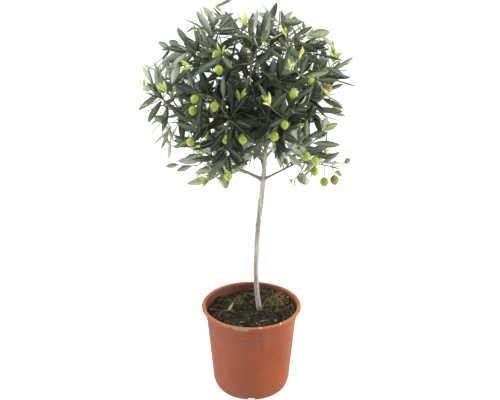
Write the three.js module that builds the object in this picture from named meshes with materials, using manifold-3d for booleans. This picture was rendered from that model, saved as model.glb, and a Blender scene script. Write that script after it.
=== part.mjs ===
// A young olive tree grown as a standard: one slender stem in a round plastic nursery pot, and a
// loose round crown of narrow opposite leaves and green fruit. Millimetres, +Z up, the front is -Y.
// The origin is the middle of the pot's flat underside.

import * as THREE from "three";
import { mergeVertices } from "three/addons/utils/BufferGeometryUtils.js";
import Module from "manifold-3d";

const wasm = await Module();
wasm.setup();

// ---- Driving sizes ------------------------------------------------------------------------------

const GAP = 0.3; // between touching pieces
const SHORTEST_EDGE = 0.08; // left after pieces are joined
const CLEAR = 1.2; // between a limb and the leaves and twigs that pass it

const POT = {
  height: 195,
  rimRadius: 105,
  collarFoot: 162, // height of the step under the collar
  collarRadius: 93.6, // of the body just under that step
  footRadius: 68,
  heel: { height: 26, flare: 13.5 }, // where the rounded foot meets the straight wall
  wall: 2.2,
  floor: 2.6,
  sides: 30,
};
const NOTCH = { count: 4, width: 14, height: 13.5, inner: 57 }; // drain slots in the foot

// The soil's level at the stem, what it rises to round it, its slopes, and the size of the level place.
const SOIL = { level: 176, rise: 5, slopeX: 0.05, slopeY: 0.065, lumps: 2.2, calm: 13 };
const DIP = { x: -40, y: 82, depth: 9, spread: 32 }; // a dip in the soil at the back left of the wall

const TRUNK = {
  top: 600,
  lean: [17.4, -69.9, 182.3, -99.6], // x as a cubic in the share of the height
  bow: { base: 9, depth: 3 }, // y
  footRadius: 6.9,
  radius: 5.2,
  forkHeight: 478,
  tipRadius: 2.7,
  sides: 10,
  steps: 14,
};
const KNOTS = [328, 375, 427]; // heights of old pruning scars
const KNOT = { swell: 1.0, length: 5 };
const BOUGH = { sides: 6, steps: 4, taper: 0.7, entry: 9 }; // entry: how deep in its mass a bough ends

const CROWN = {
  centre: new THREE.Vector3(-6, 0, 667),
  reach: new THREE.Vector3(226, 212, 201), // half widths of the space that holds every leaf
  fullness: 3.4, // power of the outline below the centre
  hem: { height: 460, slope: 0.46 }, // the least height of a leaf, which is greater towards the front
  tips: new THREE.Vector3(135, 134, 126), // half widths of the shoot tips' ellipsoid
  shoulder: 2.8, // power that fills the tips' ellipsoid out above its middle
  bump: 0.07,
  layers: [
    { count: 42, scale: 1 },
    { count: 9, scale: 0.66 },
    { count: 6, scale: 0.36 },
  ],
};
// The open place round the stem: a cone that widens downwards and reaches higher at the front.
const HOLLOW = { x: 27, y: 9, neck: 8, spread: 0.5, top: 546, forward: 0.42 };

const LEAF = {
  length: 66,
  width: 18,
  thick: 1.8,
  spacing: 27, // between pairs
  bare: 0.28, // leafless share of a shoot
  apart: 4.5, // between the middle lines of two leaves
  sunk: 1.3, // roots of the last pair behind the twig's end
  sizes: [1, 0.78, 0.58], // tried in turn until the leaf fits
};
const BLADE = { widest: 0.46, ridge: 0.3, sag: 0.22 }; // shares of the length, and of the width
const SHOOT = { base: 1.5, tip: 0.85, side: 1.1, root: 0.7, sideLength: 58, arch: 0.08, long: 100 };
// Where side twigs leave a long or a short shoot, and how far they lean forward and aside.
const FORK = {
  long: [0.3, 0.62],
  short: [0.42],
  forward: 0.68,
  aside: 0.73,
  turn: Math.PI + 0.6, // from one side twig to the next
  bare: 0.4,
};
const FRUIT = { length: 20, width: 16.5, stalk: 6, stalkRadius: 0.9, sides: 6, reach: 90 };

// The masses of foliage: centre, height where the bough leaves the trunk, the bough's base radius,
// and how far its middle is raised for its length.
const MASSES = [
  { name: "low_left", centre: [-80, -20, 545], from: 478, radius: 4.3, arch: 0 },
  { name: "low_right", centre: [112, -18, 540], from: 479, radius: 2.9, arch: 0 },
  { name: "low_back", centre: [0, 112, 565], from: 500, radius: 3.2, arch: 0.08 },
  { name: "side_left", centre: [-150, 5, 640], from: 531, radius: 2.7, arch: 0.1 },
  { name: "side_right", centre: [138, 12, 655], from: 528, radius: 2.6, arch: 0.02 },
  { name: "front_left", centre: [-62, -112, 655], from: 537, radius: 2.6, arch: 0.14 },
  { name: "front_right", centre: [66, -114, 662], from: 544, radius: 2.6, arch: 0.14 },
  { name: "back_left", centre: [-88, 108, 690], from: 550, radius: 2.6, arch: 0.12 },
  { name: "back_right", centre: [86, 108, 700], from: 556, radius: 2.6, arch: 0.12 },
  { name: "top_left", centre: [-88, -12, 762], from: 563, radius: 2.6, arch: 0.02 },
  { name: "top_right", centre: [74, -18, 772], from: 570, radius: 2.6, arch: 0.02 },
  { name: "top_back", centre: [2, 84, 785], from: 577, radius: 2.4, arch: 0.0 },
  { name: "top_front", centre: [-4, -84, 765], from: 584, radius: 2.4, arch: 0.0 },
  { name: "heart", centre: [24, 4, 672], from: TRUNK.top },
];
// Tips of the long shoots that make the crown's outline uneven.
const LEADERS = [
  [-62, -12, 806],
  [20, -50, 800],
  [68, -26, 800],
  [130, -12, 756],
  [160, -10, 733],
  [180, -6, 508],
  [118, -62, 516],
  [84, -110, 532],
  [82, 40, 512],
  [-90, -40, 500],
  [-128, 42, 522],
  [-52, -100, 544],
  [-176, -40, 602],
  [-178, -8, 714],
  [-176, -52, 680],
];
// The middles of the olives.
const OLIVES = [
  [103, -143, 596],
  [122, -128, 580],
  [122, -116, 552],
  [146, -36, 494],
  [167, -32, 497],
  [-48, -170, 641],
  [-16, -172, 642],
  [78, -145, 721],
  [-65, -108, 787],
  [-61, -130, 764],
  [-106, -138, 709],
  [-110, -142, 688],
  [-69, -158, 702],
  [62, -162, 667],
  [43, -166, 645],
  [113, -110, 734],
  [145, -88, 712],
  [-116, -136, 622],
  [-44, -150, 556],
  [60, 140, 640],
  [78, 128, 624],
  [-104, 118, 600],
  [-50, 146, 700],
  [116, 96, 690],
];

const UP = new THREE.Vector3(0, 0, 1);

// ---- Solids -------------------------------------------------------------------------------------

/** The closed solid that a three.js geometry bounds. */
function solidOf(geometry) {
  const bare = geometry.clone();
  bare.deleteAttribute("normal");
  bare.deleteAttribute("uv");
  const merged = mergeVertices(bare, 1e-4);
  return new wasm.Manifold(
    new wasm.Mesh({
      numProp: 3,
      vertProperties: merged.attributes.position.array,
      triVerts: new Uint32Array(merged.index.array),
    }),
  );
}

/** The three.js geometry of a solid. */
function geometryOf(solid) {
  const mesh = solid.getMesh();
  const geometry = new THREE.BufferGeometry();
  geometry.setAttribute("position", new THREE.BufferAttribute(mesh.vertProperties, mesh.numProp));
  geometry.setIndex(new THREE.BufferAttribute(mesh.triVerts, 1));
  geometry.computeVertexNormals();
  return geometry;
}

/** The largest body of a solid, without loose scraps or edges too short to matter. */
function largestBody(solid) {
  const bodies = solid.simplify(SHORTEST_EDGE).decompose();
  return bodies.reduce((best, body) => (body.volume() > best.volume() ? body : best));
}

/** A solid of revolution about Z from [radius, height] pairs. */
function turned(profile, sides) {
  const points = profile.map(([radius, height]) => new THREE.Vector2(radius, height));
  return new THREE.LatheGeometry(points, sides).rotateX(Math.PI / 2);
}

/** A limb along a path of points, with a radius at each point and a flat cut at both ends. */
function limb(points, radii, sides) {
  const last = points.length - 1;
  const vertices = [];
  const faces = [];
  let normal;
  points.forEach((point, ring) => {
    const before = points[Math.max(ring - 1, 0)];
    const tangent = points[Math.min(ring + 1, last)].clone().sub(before).normalize();
    normal = (normal ?? sideways(tangent, 0)).clone();
    normal.addScaledVector(tangent, -normal.dot(tangent)).normalize();
    const across = tangent.clone().cross(normal);
    for (let side = 0; side < sides; side++) {
      const angle = (2 * Math.PI * side) / sides;
      const out = normal.clone().multiplyScalar(Math.cos(angle)).addScaledVector(across, Math.sin(angle));
      vertices.push(...point.clone().addScaledVector(out, radii[ring]).toArray());
    }
  });
  const start = vertices.length / 3;
  vertices.push(...points[0].toArray(), ...points[last].toArray());
  for (let side = 0; side < sides; side++) {
    const next = (side + 1) % sides;
    for (let ring = 0; ring < last; ring++) {
      const a = ring * sides + side;
      const b = ring * sides + next;
      faces.push(a, b, b + sides, a, b + sides, a + sides);
    }
    faces.push(start, next, side, start + 1, last * sides + side, last * sides + next);
  }
  return indexed(vertices, faces);
}

/** Radii that taper evenly along a path of so many points. */
function tapered(count, from, to) {
  return Array.from({ length: count }, (_, i) => mix(from, to, i / (count - 1)));
}

/** The place and direction at a share of a path's length. */
function pathAt(points, share) {
  const lengths = points.slice(1).map((point, i) => point.distanceTo(points[i]));
  let left = share * lengths.reduce((sum, length) => sum + length, 0);
  let leg = 0;
  while (left > lengths[leg] && leg < lengths.length - 1) left -= lengths[leg++];
  const tangent = points[leg + 1].clone().sub(points[leg]).normalize();
  return { place: points[leg].clone().addScaledVector(tangent, left), tangent };
}

function pathLength(points) {
  return points.slice(1).reduce((sum, point, i) => sum + point.distanceTo(points[i]), 0);
}

function indexed(vertices, faces) {
  const geometry = new THREE.BufferGeometry();
  geometry.setAttribute("position", new THREE.Float32BufferAttribute(vertices, 3));
  geometry.setIndex(faces);
  return geometry;
}

/** A repeatable source of numbers from 0 to 1. */
function seeded(seed) {
  let state = seed >>> 0;
  return () => {
    state = (Math.imul(state, 1664525) + 1013904223) >>> 0;
    return state / 4294967296;
  };
}

const mix = THREE.MathUtils.lerp;

// ---- Pot and soil -------------------------------------------------------------------------------

/** The pot's outside from the foot to the top of the rim, as [radius, height]. */
const POT_OUTSIDE = [
  [POT.footRadius, 0],
  [POT.footRadius + 5.2, 3.6],
  [POT.footRadius + 9.8, 11.4],
  [POT.footRadius + POT.heel.flare, POT.heel.height],
  [POT.collarRadius, POT.collarFoot],
  [POT.collarRadius + 1.6, POT.collarFoot + 2],
  [POT.collarRadius + 3.2, POT.height - 13],
  [POT.collarRadius + 5.4, POT.height - 8.6],
  [POT.rimRadius - 1, POT.height - 5.6],
  [POT.rimRadius, POT.height - 3],
  [POT.rimRadius - 2.4, POT.height],
];
/** The pot's inside from the top of the rim to the floor. */
const POT_INSIDE = [
  [POT.collarRadius + 3.6, POT.height - 0.6],
  [POT.collarRadius + 1.2, POT.height - 7],
  [POT.collarRadius - 0.6, POT.collarFoot + 2],
  [POT.collarRadius - POT.wall, POT.collarFoot],
  [POT.footRadius + POT.heel.flare - POT.wall, POT.heel.height],
  [POT.footRadius + 7.2, 13],
  [POT.footRadius - 0.8, POT.floor],
];

/** The pot's inner radius at a height. */
function innerRadius(height) {
  const at = POT_INSIDE.findIndex(([, low]) => low <= height);
  const [upper, lower] = [POT_INSIDE[at - 1], POT_INSIDE[at]];
  return mix(lower[0], upper[0], (height - lower[1]) / (upper[1] - lower[1]));
}

function makePot() {
  const shell = solidOf(turned([[0, 0], ...POT_OUTSIDE, ...POT_INSIDE, [0, POT.floor]], POT.sides));
  const reach = POT.rimRadius - NOTCH.inner;
  const slots = [];
  for (let i = 0; i < NOTCH.count; i++) {
    const slot = new THREE.BoxGeometry(reach, NOTCH.width, 2 * NOTCH.height)
      .translate(NOTCH.inner + reach / 2, 0, 0)
      .rotateZ((2 * Math.PI * (i - 1)) / NOTCH.count);
    slots.push(solidOf(slot));
  }
  return shell.subtract(wasm.Manifold.union(slots));
}

/** The soil's height: a gentle slope with lumps and a dip, lower and level at the stem's foot. */
function soilHeight(x, y) {
  const dx = x - leanAt(SOIL.level);
  const dy = y - TRUNK.bow.base;
  const calm = THREE.MathUtils.smoothstep(Math.hypot(dx, dy), SOIL.calm, 2.4 * SOIL.calm);
  const lumps = SOIL.lumps * Math.sin(x / 15 + 1) * Math.cos(y / 12);
  const apart = Math.hypot(x - DIP.x, y - DIP.y) / DIP.spread;
  const dip = DIP.depth * Math.exp(-(apart ** 2));
  return SOIL.level + calm * (SOIL.rise + SOIL.slopeX * dx + SOIL.slopeY * dy + lumps) - dip;
}

function makeSoil() {
  const rings = [0, 0.12, 0.3, 0.55, 0.8, 1];
  const side = POT_INSIDE.slice(4).reverse();
  const rim = POT.collarRadius;
  const profile = [
    [0, POT.floor + GAP],
    ...side.map(([radius, height]) => [radius - GAP, Math.max(height, POT.floor + GAP)]),
    [POT.collarRadius - POT.wall - GAP, POT.collarFoot],
    ...rings.reverse().map((share) => [rim * share, SOIL.level]),
  ];
  const geometry = turned(profile, POT.sides);
  const place = geometry.attributes.position;
  for (let i = 0; i < place.count; i++) {
    if (place.getZ(i) < SOIL.level - 1) continue;
    const [x, y] = [place.getX(i), place.getY(i)];
    const height = soilHeight(x, y);
    const radius = Math.hypot(x, y);
    const pull = radius > rim - 1 ? (innerRadius(height) - GAP) / radius : 1;
    place.setXYZ(i, x * pull, y * pull, height);
  }
  return solidOf(geometry);
}

// ---- Trunk and boughs ---------------------------------------------------------------------------

function heightShare(height) {
  return (height - SOIL.level) / (TRUNK.top - SOIL.level);
}

/** The x of the trunk's middle at a height. */
function leanAt(height) {
  const share = heightShare(height);
  return TRUNK.lean.reduceRight((sum, factor) => sum * share + factor, 0);
}

/** The y of the trunk's middle at a height. */
function bowAt(height) {
  return TRUNK.bow.base + TRUNK.bow.depth * Math.sin(Math.PI * heightShare(height));
}

function trunkPoint(height) {
  return new THREE.Vector3(leanAt(height), bowAt(height), height);
}

/** The trunk's radius: a flared foot, a slow taper to the fork, a quicker one above, and knots. */
function trunkRadius(height) {
  const flare = (TRUNK.footRadius - TRUNK.radius) * Math.exp(-(height - SOIL.level) / 9);
  const above = Math.max(0, (height - TRUNK.forkHeight) / (TRUNK.top - TRUNK.forkHeight));
  const knots = KNOTS.reduce(
    (sum, knot) => sum + KNOT.swell * Math.exp(-(((height - knot) / KNOT.length) ** 2)),
    0,
  );
  return mix(TRUNK.radius, TRUNK.tipRadius, above ** 0.7) + flare + knots;
}

/** Heights of the trunk's rings: closer at the foot and at each knot. */
function trunkHeights() {
  const foot = SOIL.level + GAP;
  const heights = [foot, foot + 4, foot + 12];
  for (let i = 1; i <= TRUNK.steps; i++) heights.push(mix(foot, TRUNK.top, i / TRUNK.steps));
  const spaced = heights.filter((h) => KNOTS.every((knot) => Math.abs(h - knot) > 7));
  return [...spaced, ...KNOTS.flatMap((knot) => [knot - 5, knot, knot + 5])].sort((a, b) => a - b);
}

/** The trunk, or the same shape made larger by a clearance. */
function makeTrunk(clearance = 0) {
  const heights = trunkHeights();
  const profile = heights.map((height) => [trunkRadius(height) + clearance, height]);
  const ends = [heights[0], heights.at(-1)].map((height) => [0, height]);
  const geometry = turned([ends[0], ...profile, ends[1]], TRUNK.sides);
  const place = geometry.attributes.position;
  for (let i = 0; i < place.count; i++) {
    const height = place.getZ(i);
    place.setXYZ(i, place.getX(i) + leanAt(height), place.getY(i) + bowAt(height), height);
  }
  return solidOf(geometry);
}

/** The least distance by which a point is inside the space of one mass. */
function depthInCell(point, mass) {
  let least = Infinity;
  for (const other of MASSES) {
    if (other === mass) continue;
    const apart = other.middle.distanceTo(mass.middle);
    const away = point.distanceToSquared(other.middle) - point.distanceToSquared(mass.middle);
    least = Math.min(least, away / (2 * apart));
  }
  return least;
}

/** A bough's path, from the trunk's middle to where it enters its mass. */
function boughPath(mass) {
  const start = trunkPoint(mass.from);
  let share = 0.2;
  const tip = new THREE.Vector3();
  do {
    share += 0.02;
    tip.lerpVectors(start, mass.middle, share);
  } while (depthInCell(tip, mass) < BOUGH.entry && share < 0.9);
  const raised = start.clone().lerp(tip, 0.5);
  raised.z += mass.arch * start.distanceTo(tip);
  return new THREE.QuadraticBezierCurve3(start, raised, tip).getSpacedPoints(BOUGH.steps);
}

// ---- Foliage ------------------------------------------------------------------------------------

/** Points spread evenly over the crown's ellipsoid at a scale, pushed in and out a little. */
function ellipsoidTips({ count, scale }) {
  const turn = Math.PI * (3 - Math.sqrt(5));
  const tips = [];
  for (let i = 0; i < count; i++) {
    const z = 1 - (2 * (i + 0.5)) / count;
    const flat = Math.sqrt(1 - z * z);
    const bump = 1 + CROWN.bump * Math.sin(2.4 * i);
    const way = new THREE.Vector3(flat * Math.cos(turn * i), flat * Math.sin(turn * i), z);
    const power = z > 0 ? CROWN.shoulder : 2;
    const full = (flat ** power + Math.abs(z) ** power) ** (-1 / power);
    tips.push(way.multiply(CROWN.tips).multiplyScalar(scale * bump * full).add(CROWN.centre));
  }
  return tips;
}

/** True in the clear space round the trunk under the crown, which is open to the front. */
function inHollow(point) {
  const forward = Math.max(0, HOLLOW.y - point.y);
  const aside = point.x - HOLLOW.x;
  const away = forward > 0 ? Math.abs(aside) : Math.hypot(aside, point.y - HOLLOW.y);
  const height = point.z - HOLLOW.forward * forward;
  return away < HOLLOW.neck + HOLLOW.spread * (HOLLOW.top - height);
}

/** Two directions square to a tangent, turned by an angle about it. */
function sideways(tangent, angle) {
  const across = new THREE.Vector3().crossVectors(tangent, UP);
  if (across.lengthSq() < 1e-4) across.set(1, 0, 0);
  across.normalize();
  const along = new THREE.Vector3().crossVectors(tangent, across);
  return across.multiplyScalar(Math.cos(angle)).addScaledVector(along, Math.sin(angle));
}

/** Middles and radii along every limb, for the clearance of leaves and twigs. */
function limbBeads(boughs) {
  const beads = [];
  for (let height = SOIL.level; height <= TRUNK.top; height += 5)
    beads.push({ at: trunkPoint(height), radius: trunkRadius(height) });
  for (const { path, radii } of boughs)
    for (let share = 0; share <= 1; share += 0.04)
      beads.push({ at: pathAt(path, share).place, radius: mix(radii[0], radii.at(-1), share) });
  return beads;
}

/** True inside the crown, which is an ellipsoid above and fuller than one below, down to its hem. */
function inCrown(point) {
  if (point.z < CROWN.hem.height - CROWN.hem.slope * point.y) return false;
  const out = point.clone().sub(CROWN.centre).divide(CROWN.reach);
  const power = out.z < 0 ? CROWN.fullness : 2;
  return Math.hypot(out.x, out.y) ** power + Math.abs(out.z) ** power < 1;
}

/** True if a point is this deep in its mass's space, inside the crown and out of its hollow. */
function inSpace(point, depth, mass) {
  return inCrown(point) && depthInCell(point, mass) > depth + GAP && !inHollow(point);
}

/** True if a ball of this radius round a point is off every limb. */
function offLimbs(point, radius, beads) {
  return beads.every((bead) => bead.at.distanceTo(point) > bead.radius + radius + CLEAR);
}

function pathIsFree(path, radius, mass, beads, from) {
  for (let i = 0; i <= 30; i++) {
    const { place } = pathAt(path, mix(from, 1, i / 30));
    if (!inSpace(place, radius, mass) || !offLimbs(place, radius, beads)) return false;
  }
  return true;
}

/** The corners of a blade: root, tip, two edges, and a ridge above and below. */
function bladeCorners({ root, way, face, length, width, thick }) {
  const edge = new THREE.Vector3().crossVectors(way, face);
  const at = (share, side, rise) =>
    root
      .clone()
      .addScaledVector(way, share * length)
      .addScaledVector(edge, side * width)
      .addScaledVector(face, rise * thick - BLADE.sag * share * share * width);
  const edges = [at(BLADE.widest, -0.5, 0), at(BLADE.widest, 0.5, 0)];
  return [at(0, 0, 0), at(1, 0, 0), ...edges, at(BLADE.ridge, 0, 0.5), at(BLADE.ridge, 0, -0.5)];
}

const BLADE_FACES = [0, 4, 2, 0, 3, 4, 0, 5, 3, 0, 2, 5, 1, 2, 4, 1, 4, 3, 1, 3, 5, 1, 5, 2];

function bladeSolid(leaf) {
  const corners = bladeCorners(leaf).flatMap((corner) => corner.toArray());
  return solidOf(indexed(corners, BLADE_FACES));
}

/** True if a blade's corners are in its mass's space and balls along it are off every limb. */
function bladeIsFree(leaf, mass, beads) {
  const [root, tip, left, right] = bladeCorners(leaf);
  if (![tip, left, right].every((corner) => inSpace(corner, 0.3, mass))) return false;
  return [0.15, 0.3, 0.45, 0.6, 0.75, 0.9, 1].every((share) => {
    const halfWidth = 0.5 * leaf.width * Math.min(share / BLADE.widest, (1 - share) / (1 - BLADE.widest));
    return offLimbs(root.clone().lerp(tip, share), halfWidth, beads);
  });
}

/** The least distance between the middle lines of two blades, sampled from a tenth of the way out. */
function bladesApart(one, other) {
  let least = Infinity;
  for (let i = 1; i <= 8; i++) {
    const mine = one.root.clone().addScaledVector(one.way, (one.length * i) / 8);
    for (let j = 1; j <= 8; j++) {
      const theirs = other.root.clone().addScaledVector(other.way, (other.length * j) / 8);
      least = Math.min(least, mine.distanceTo(theirs));
    }
  }
  return least;
}

/** True if a leaf crosses no leaf or olive that is already there. */
function bladeIsApart(leaf, leaves, fruit) {
  const tip = leaf.root.clone().addScaledVector(leaf.way, leaf.length);
  const middle = leaf.root.clone().lerp(tip, 0.5);
  const isOff = (place) => fruit.every((olive) => olive.middle.distanceTo(place) > 0.6 * FRUIT.length);
  return leaves.every((other) => bladesApart(leaf, other) > LEAF.apart) && isOff(tip) && isOff(middle);
}

/** One leaf on a twig: it leans off by a spread, droops a little and faces the twig's end. */
function leafAt(root, tangent, angle, spread, size, random) {
  const way = tangent
    .clone()
    .multiplyScalar(Math.cos(spread))
    .addScaledVector(sideways(tangent, angle), Math.sin(spread));
  way.z -= 0.1 + 0.2 * random();
  way.normalize();
  const face = tangent.clone().multiplyScalar(0.6).addScaledVector(UP, 0.7);
  face.addScaledVector(way, -face.dot(way));
  if (face.lengthSq() < 1e-4) face.copy(sideways(way, 0));
  face.normalize();
  const length = LEAF.length * size * (0.78 + 0.34 * random());
  return { root, way, face, length, width: LEAF.width * (0.85 + 0.3 * random()), thick: LEAF.thick };
}

/** Opposite pairs of leaves along a twig, each pair square to the last, and a pair at its tip. */
function leavesAlong(path, bare, random) {
  const phase = 2 * Math.PI * random();
  const leaves = [];
  const pairs = Math.max(1, Math.round((pathLength(path) * (1 - bare)) / LEAF.spacing));
  for (let pair = 0; pair <= pairs; pair++) {
    const last = pair === pairs;
    const share = last ? 1 - LEAF.sunk / pathLength(path) : mix(bare, 1, pair / pairs);
    const { place, tangent } = pathAt(path, share);
    const turn = phase + (pair * Math.PI) / 2 + 0.5 * (random() - 0.5);
    for (const side of [0, Math.PI]) {
      const spread = last ? 0.4 : 0.75 + 0.35 * random();
      leaves.push(leafAt(place, tangent, turn + side, spread, last ? 0.85 : 1, random));
    }
  }
  return leaves;
}

/** The leaves that have room, each at the largest of a few sizes that fits. */
function leavesThatFit(leaves, fruit, mass, beads) {
  const kept = [];
  for (const leaf of leaves) {
    const fit = LEAF.sizes
      .map((size) => ({ ...leaf, length: size * leaf.length, width: size * leaf.width }))
      .find((blade) => bladeIsFree(blade, mass, beads) && bladeIsApart(blade, kept, fruit));
    if (fit) kept.push(fit);
  }
  return kept;
}

/** The twig that bears an olive: from the nearest place on the mass's wood to the stalk's top. */
function bearingTwig(middle, wood) {
  const top = middle.clone().addScaledVector(UP, FRUIT.length / 2 + FRUIT.stalk);
  let nearest = null;
  for (const path of wood)
    for (let share = 0.15; share < 0.96; share += 0.05) {
      const { place } = pathAt(path, share);
      if (!nearest || place.distanceTo(top) < nearest.distanceTo(top)) nearest = place;
    }
  return nearest.distanceTo(top) < FRUIT.reach ? [nearest, top] : null;
}

/** The stalk widens from a point inside the twig, and the olive below it is rounded. */
function fruitSolid({ root }) {
  const outline = [[0, 0], [FRUIT.stalkRadius, FRUIT.stalk]];
  for (const share of [0.2, 0.5, 0.84])
    outline.push([FRUIT.width * Math.sqrt(share - share * share), FRUIT.stalk + share * FRUIT.length]);
  outline.push([0, FRUIT.stalk + FRUIT.length]);
  const olive = turned(outline, FRUIT.sides).rotateX(Math.PI);
  return solidOf(olive.translate(root.x, root.y, root.z));
}

function fruitIsFree(middle, mass, beads) {
  const room = FRUIT.length / 2;
  return inSpace(middle, room, mass) && offLimbs(middle, room, beads);
}

/** A mass's stem: it goes straight on from the bough's tip, then through the middle of the mass. */
function stemPath(mass) {
  const start = mass.tip.clone().addScaledVector(mass.heading, GAP);
  const knee = start.clone().addScaledVector(mass.heading, 5);
  const end = mass.middle.clone().addScaledVector(mass.heading, 14);
  const bend = knee.clone().addScaledVector(mass.heading, 0.45 * knee.distanceTo(end));
  const rest = new THREE.QuadraticBezierCurve3(knee, bend, end).getSpacedPoints(2);
  return [start, ...rest];
}

/** Every twig, leaf and olive of one mass, by the seeded rule. */
function growMass(mass, tips, olives, beads) {
  const random = seeded(mass.seed);
  const leafRandom = seeded(mass.seed + 1);
  const stem = stemPath(mass);
  const twigs = [];
  const leaves = [];
  const addTwig = (path, radii, bare) => {
    twigs.push({ path, radii });
    leaves.push(...leavesAlong(path, bare, leafRandom));
  };
  for (const tip of tips) {
    const { place: start, tangent: heading } = pathAt(stem, 0.25 + 0.7 * random());
    const reach = start.distanceTo(tip);
    const knee = start.clone().lerp(tip, 0.5).addScaledVector(heading, SHOOT.arch * reach);
    const path = [start, knee, tip];
    const phase = 2 * Math.PI * random();
    if (!pathIsFree(path, SHOOT.base, mass, beads, 0.2)) continue;
    addTwig(path, [SHOOT.root, SHOOT.base, SHOOT.tip], LEAF.bare);
    const forks = reach > SHOOT.long ? FORK.long : FORK.short;
    for (const [i, share] of forks.entries()) {
      const { place: from, tangent } = pathAt(path, share + 0.1 * random());
      const aside = sideways(tangent, phase + i * FORK.turn);
      const way = tangent.clone().multiplyScalar(FORK.forward).addScaledVector(aside, FORK.aside);
      const end = from.clone().addScaledVector(way, SHOOT.sideLength * (0.75 + 0.5 * random()));
      if (pathIsFree([from, end], SHOOT.side, mass, beads, 0))
        addTwig([from, end], [SHOOT.root, SHOOT.tip], FORK.bare);
    }
  }
  const wood = [stem, ...twigs.map(({ path }) => path)];
  const fruit = [];
  for (const middle of olives.filter((olive) => fruitIsFree(olive, mass, beads))) {
    const path = bearingTwig(middle, wood);
    if (!path || !pathIsFree(path, SHOOT.tip, mass, beads, 0)) continue;
    twigs.push({ path, radii: [SHOOT.root, SHOOT.tip] });
    fruit.push({ middle, root: path[1].clone().addScaledVector(UP, -0.2) });
  }
  return { stem, twigs, fruit, leaves: leavesThatFit(leaves, fruit, mass, beads) };
}

function massSolid(mass, { stem, twigs, fruit, leaves }) {
  const thick = tapered(stem.length, mass.tipRadius, mix(mass.tipRadius, SHOOT.base, 0.7));
  const parts = [
    solidOf(limb(stem, thick, 5)),
    ...twigs.map(({ path, radii }) => solidOf(limb(path, radii, 3))),
    ...leaves.map(bladeSolid),
    ...fruit.map(fruitSolid),
  ];
  return largestBody(wasm.Manifold.union(parts));
}

// ---- The tree -----------------------------------------------------------------------------------

const BARK = { color: 0x8f8b7c, roughness: 0.85 };
const LOOKS = {
  pot: { color: 0xa65a3c, roughness: 0.5 },
  soil: { color: 0x2b2721, roughness: 1 },
  trunk: BARK,
  foliage: { color: 0x47574a, roughness: 0.6 },
};

const tree = new THREE.Group();

function addPiece(name, solid, look) {
  const material = new THREE.MeshStandardMaterial({ ...look, metalness: 0 });
  const mesh = new THREE.Mesh(geometryOf(solid), material);
  mesh.name = name;
  tree.add(mesh);
}

MASSES.forEach((mass, index) => {
  mass.seed = 101 + 17 * index;
  mass.middle = new THREE.Vector3(...mass.centre);
});

const boughs = [];
for (const mass of MASSES) {
  if (!mass.radius) {
    mass.tip = trunkPoint(TRUNK.top);
    mass.heading = UP;
    mass.tipRadius = TRUNK.tipRadius;
    continue;
  }
  const path = boughPath(mass);
  const [before, tip] = path.slice(-2);
  mass.tip = tip;
  mass.heading = tip.clone().sub(before).normalize();
  mass.tipRadius = BOUGH.taper * mass.radius;
  const radii = tapered(path.length, mass.radius, mass.tipRadius);
  boughs.push({ name: `bough_${mass.name}`, path, radii });
}

const beads = limbBeads(boughs);
const placesOf = (list) => list.map((place) => new THREE.Vector3(...place));
const tips = [...CROWN.layers.flatMap(ellipsoidTips), ...placesOf(LEADERS)].filter((tip) => !inHollow(tip));
const olives = placesOf(OLIVES);

addPiece("pot", makePot(), LOOKS.pot);
addPiece("soil", makeSoil(), LOOKS.soil);
addPiece("trunk", makeTrunk(), LOOKS.trunk);

let taken = makeTrunk(GAP);
for (const { name, path, radii } of boughs) {
  const bough = solidOf(limb(path, radii, BOUGH.sides));
  addPiece(name, largestBody(bough.subtract(taken)), LOOKS.trunk);
  taken = taken.add(solidOf(limb(path, radii.map((radius) => radius + GAP), BOUGH.sides)));
}

for (const mass of MASSES) {
  const inOwnCell = (place) => depthInCell(place, mass) > 0;
  const grown = growMass(mass, tips.filter(inOwnCell), olives.filter(inOwnCell), beads);
  addPiece(`foliage_${mass.name}`, massSolid(mass, grown), LOOKS.foliage);
}

export default tree;
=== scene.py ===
"""The looks of a young olive tree, grown as a standard in a round plastic nursery pot.

Shapes are worked out in millimetres, +Z up and the front towards -Y, and go into meshes in metres.
The wood, leaves and olives follow the growth rule of the solids, with the same names and seeds, and
carry it on to finer twigs and many more leaves.
"""

import math

import bpy
import numpy as np
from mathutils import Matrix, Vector


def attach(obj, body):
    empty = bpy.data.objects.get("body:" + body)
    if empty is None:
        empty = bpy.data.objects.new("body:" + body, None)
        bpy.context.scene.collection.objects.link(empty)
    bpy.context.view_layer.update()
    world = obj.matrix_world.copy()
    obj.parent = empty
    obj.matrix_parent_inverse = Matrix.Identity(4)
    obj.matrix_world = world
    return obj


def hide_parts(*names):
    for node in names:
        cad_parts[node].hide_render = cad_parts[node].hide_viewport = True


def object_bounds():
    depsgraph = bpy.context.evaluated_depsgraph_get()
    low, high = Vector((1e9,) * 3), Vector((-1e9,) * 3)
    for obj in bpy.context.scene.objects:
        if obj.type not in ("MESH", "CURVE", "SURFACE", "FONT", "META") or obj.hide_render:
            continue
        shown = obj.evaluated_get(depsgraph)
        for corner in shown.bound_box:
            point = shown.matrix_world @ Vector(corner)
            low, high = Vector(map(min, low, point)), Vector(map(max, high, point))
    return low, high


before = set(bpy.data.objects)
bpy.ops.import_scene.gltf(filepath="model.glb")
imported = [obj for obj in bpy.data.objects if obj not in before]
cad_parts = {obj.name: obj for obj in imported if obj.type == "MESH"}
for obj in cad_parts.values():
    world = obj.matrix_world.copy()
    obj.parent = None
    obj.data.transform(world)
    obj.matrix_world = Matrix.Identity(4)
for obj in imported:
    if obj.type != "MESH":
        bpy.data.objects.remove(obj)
FRAME_SIZE = [list(corner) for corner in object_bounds()]
BOX = 1000 * np.array(FRAME_SIZE)

# ---- Driving sizes, in millimetres ---------------------------------------------------------------

GAP = 0.3
CLEAR = 1.2

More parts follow.
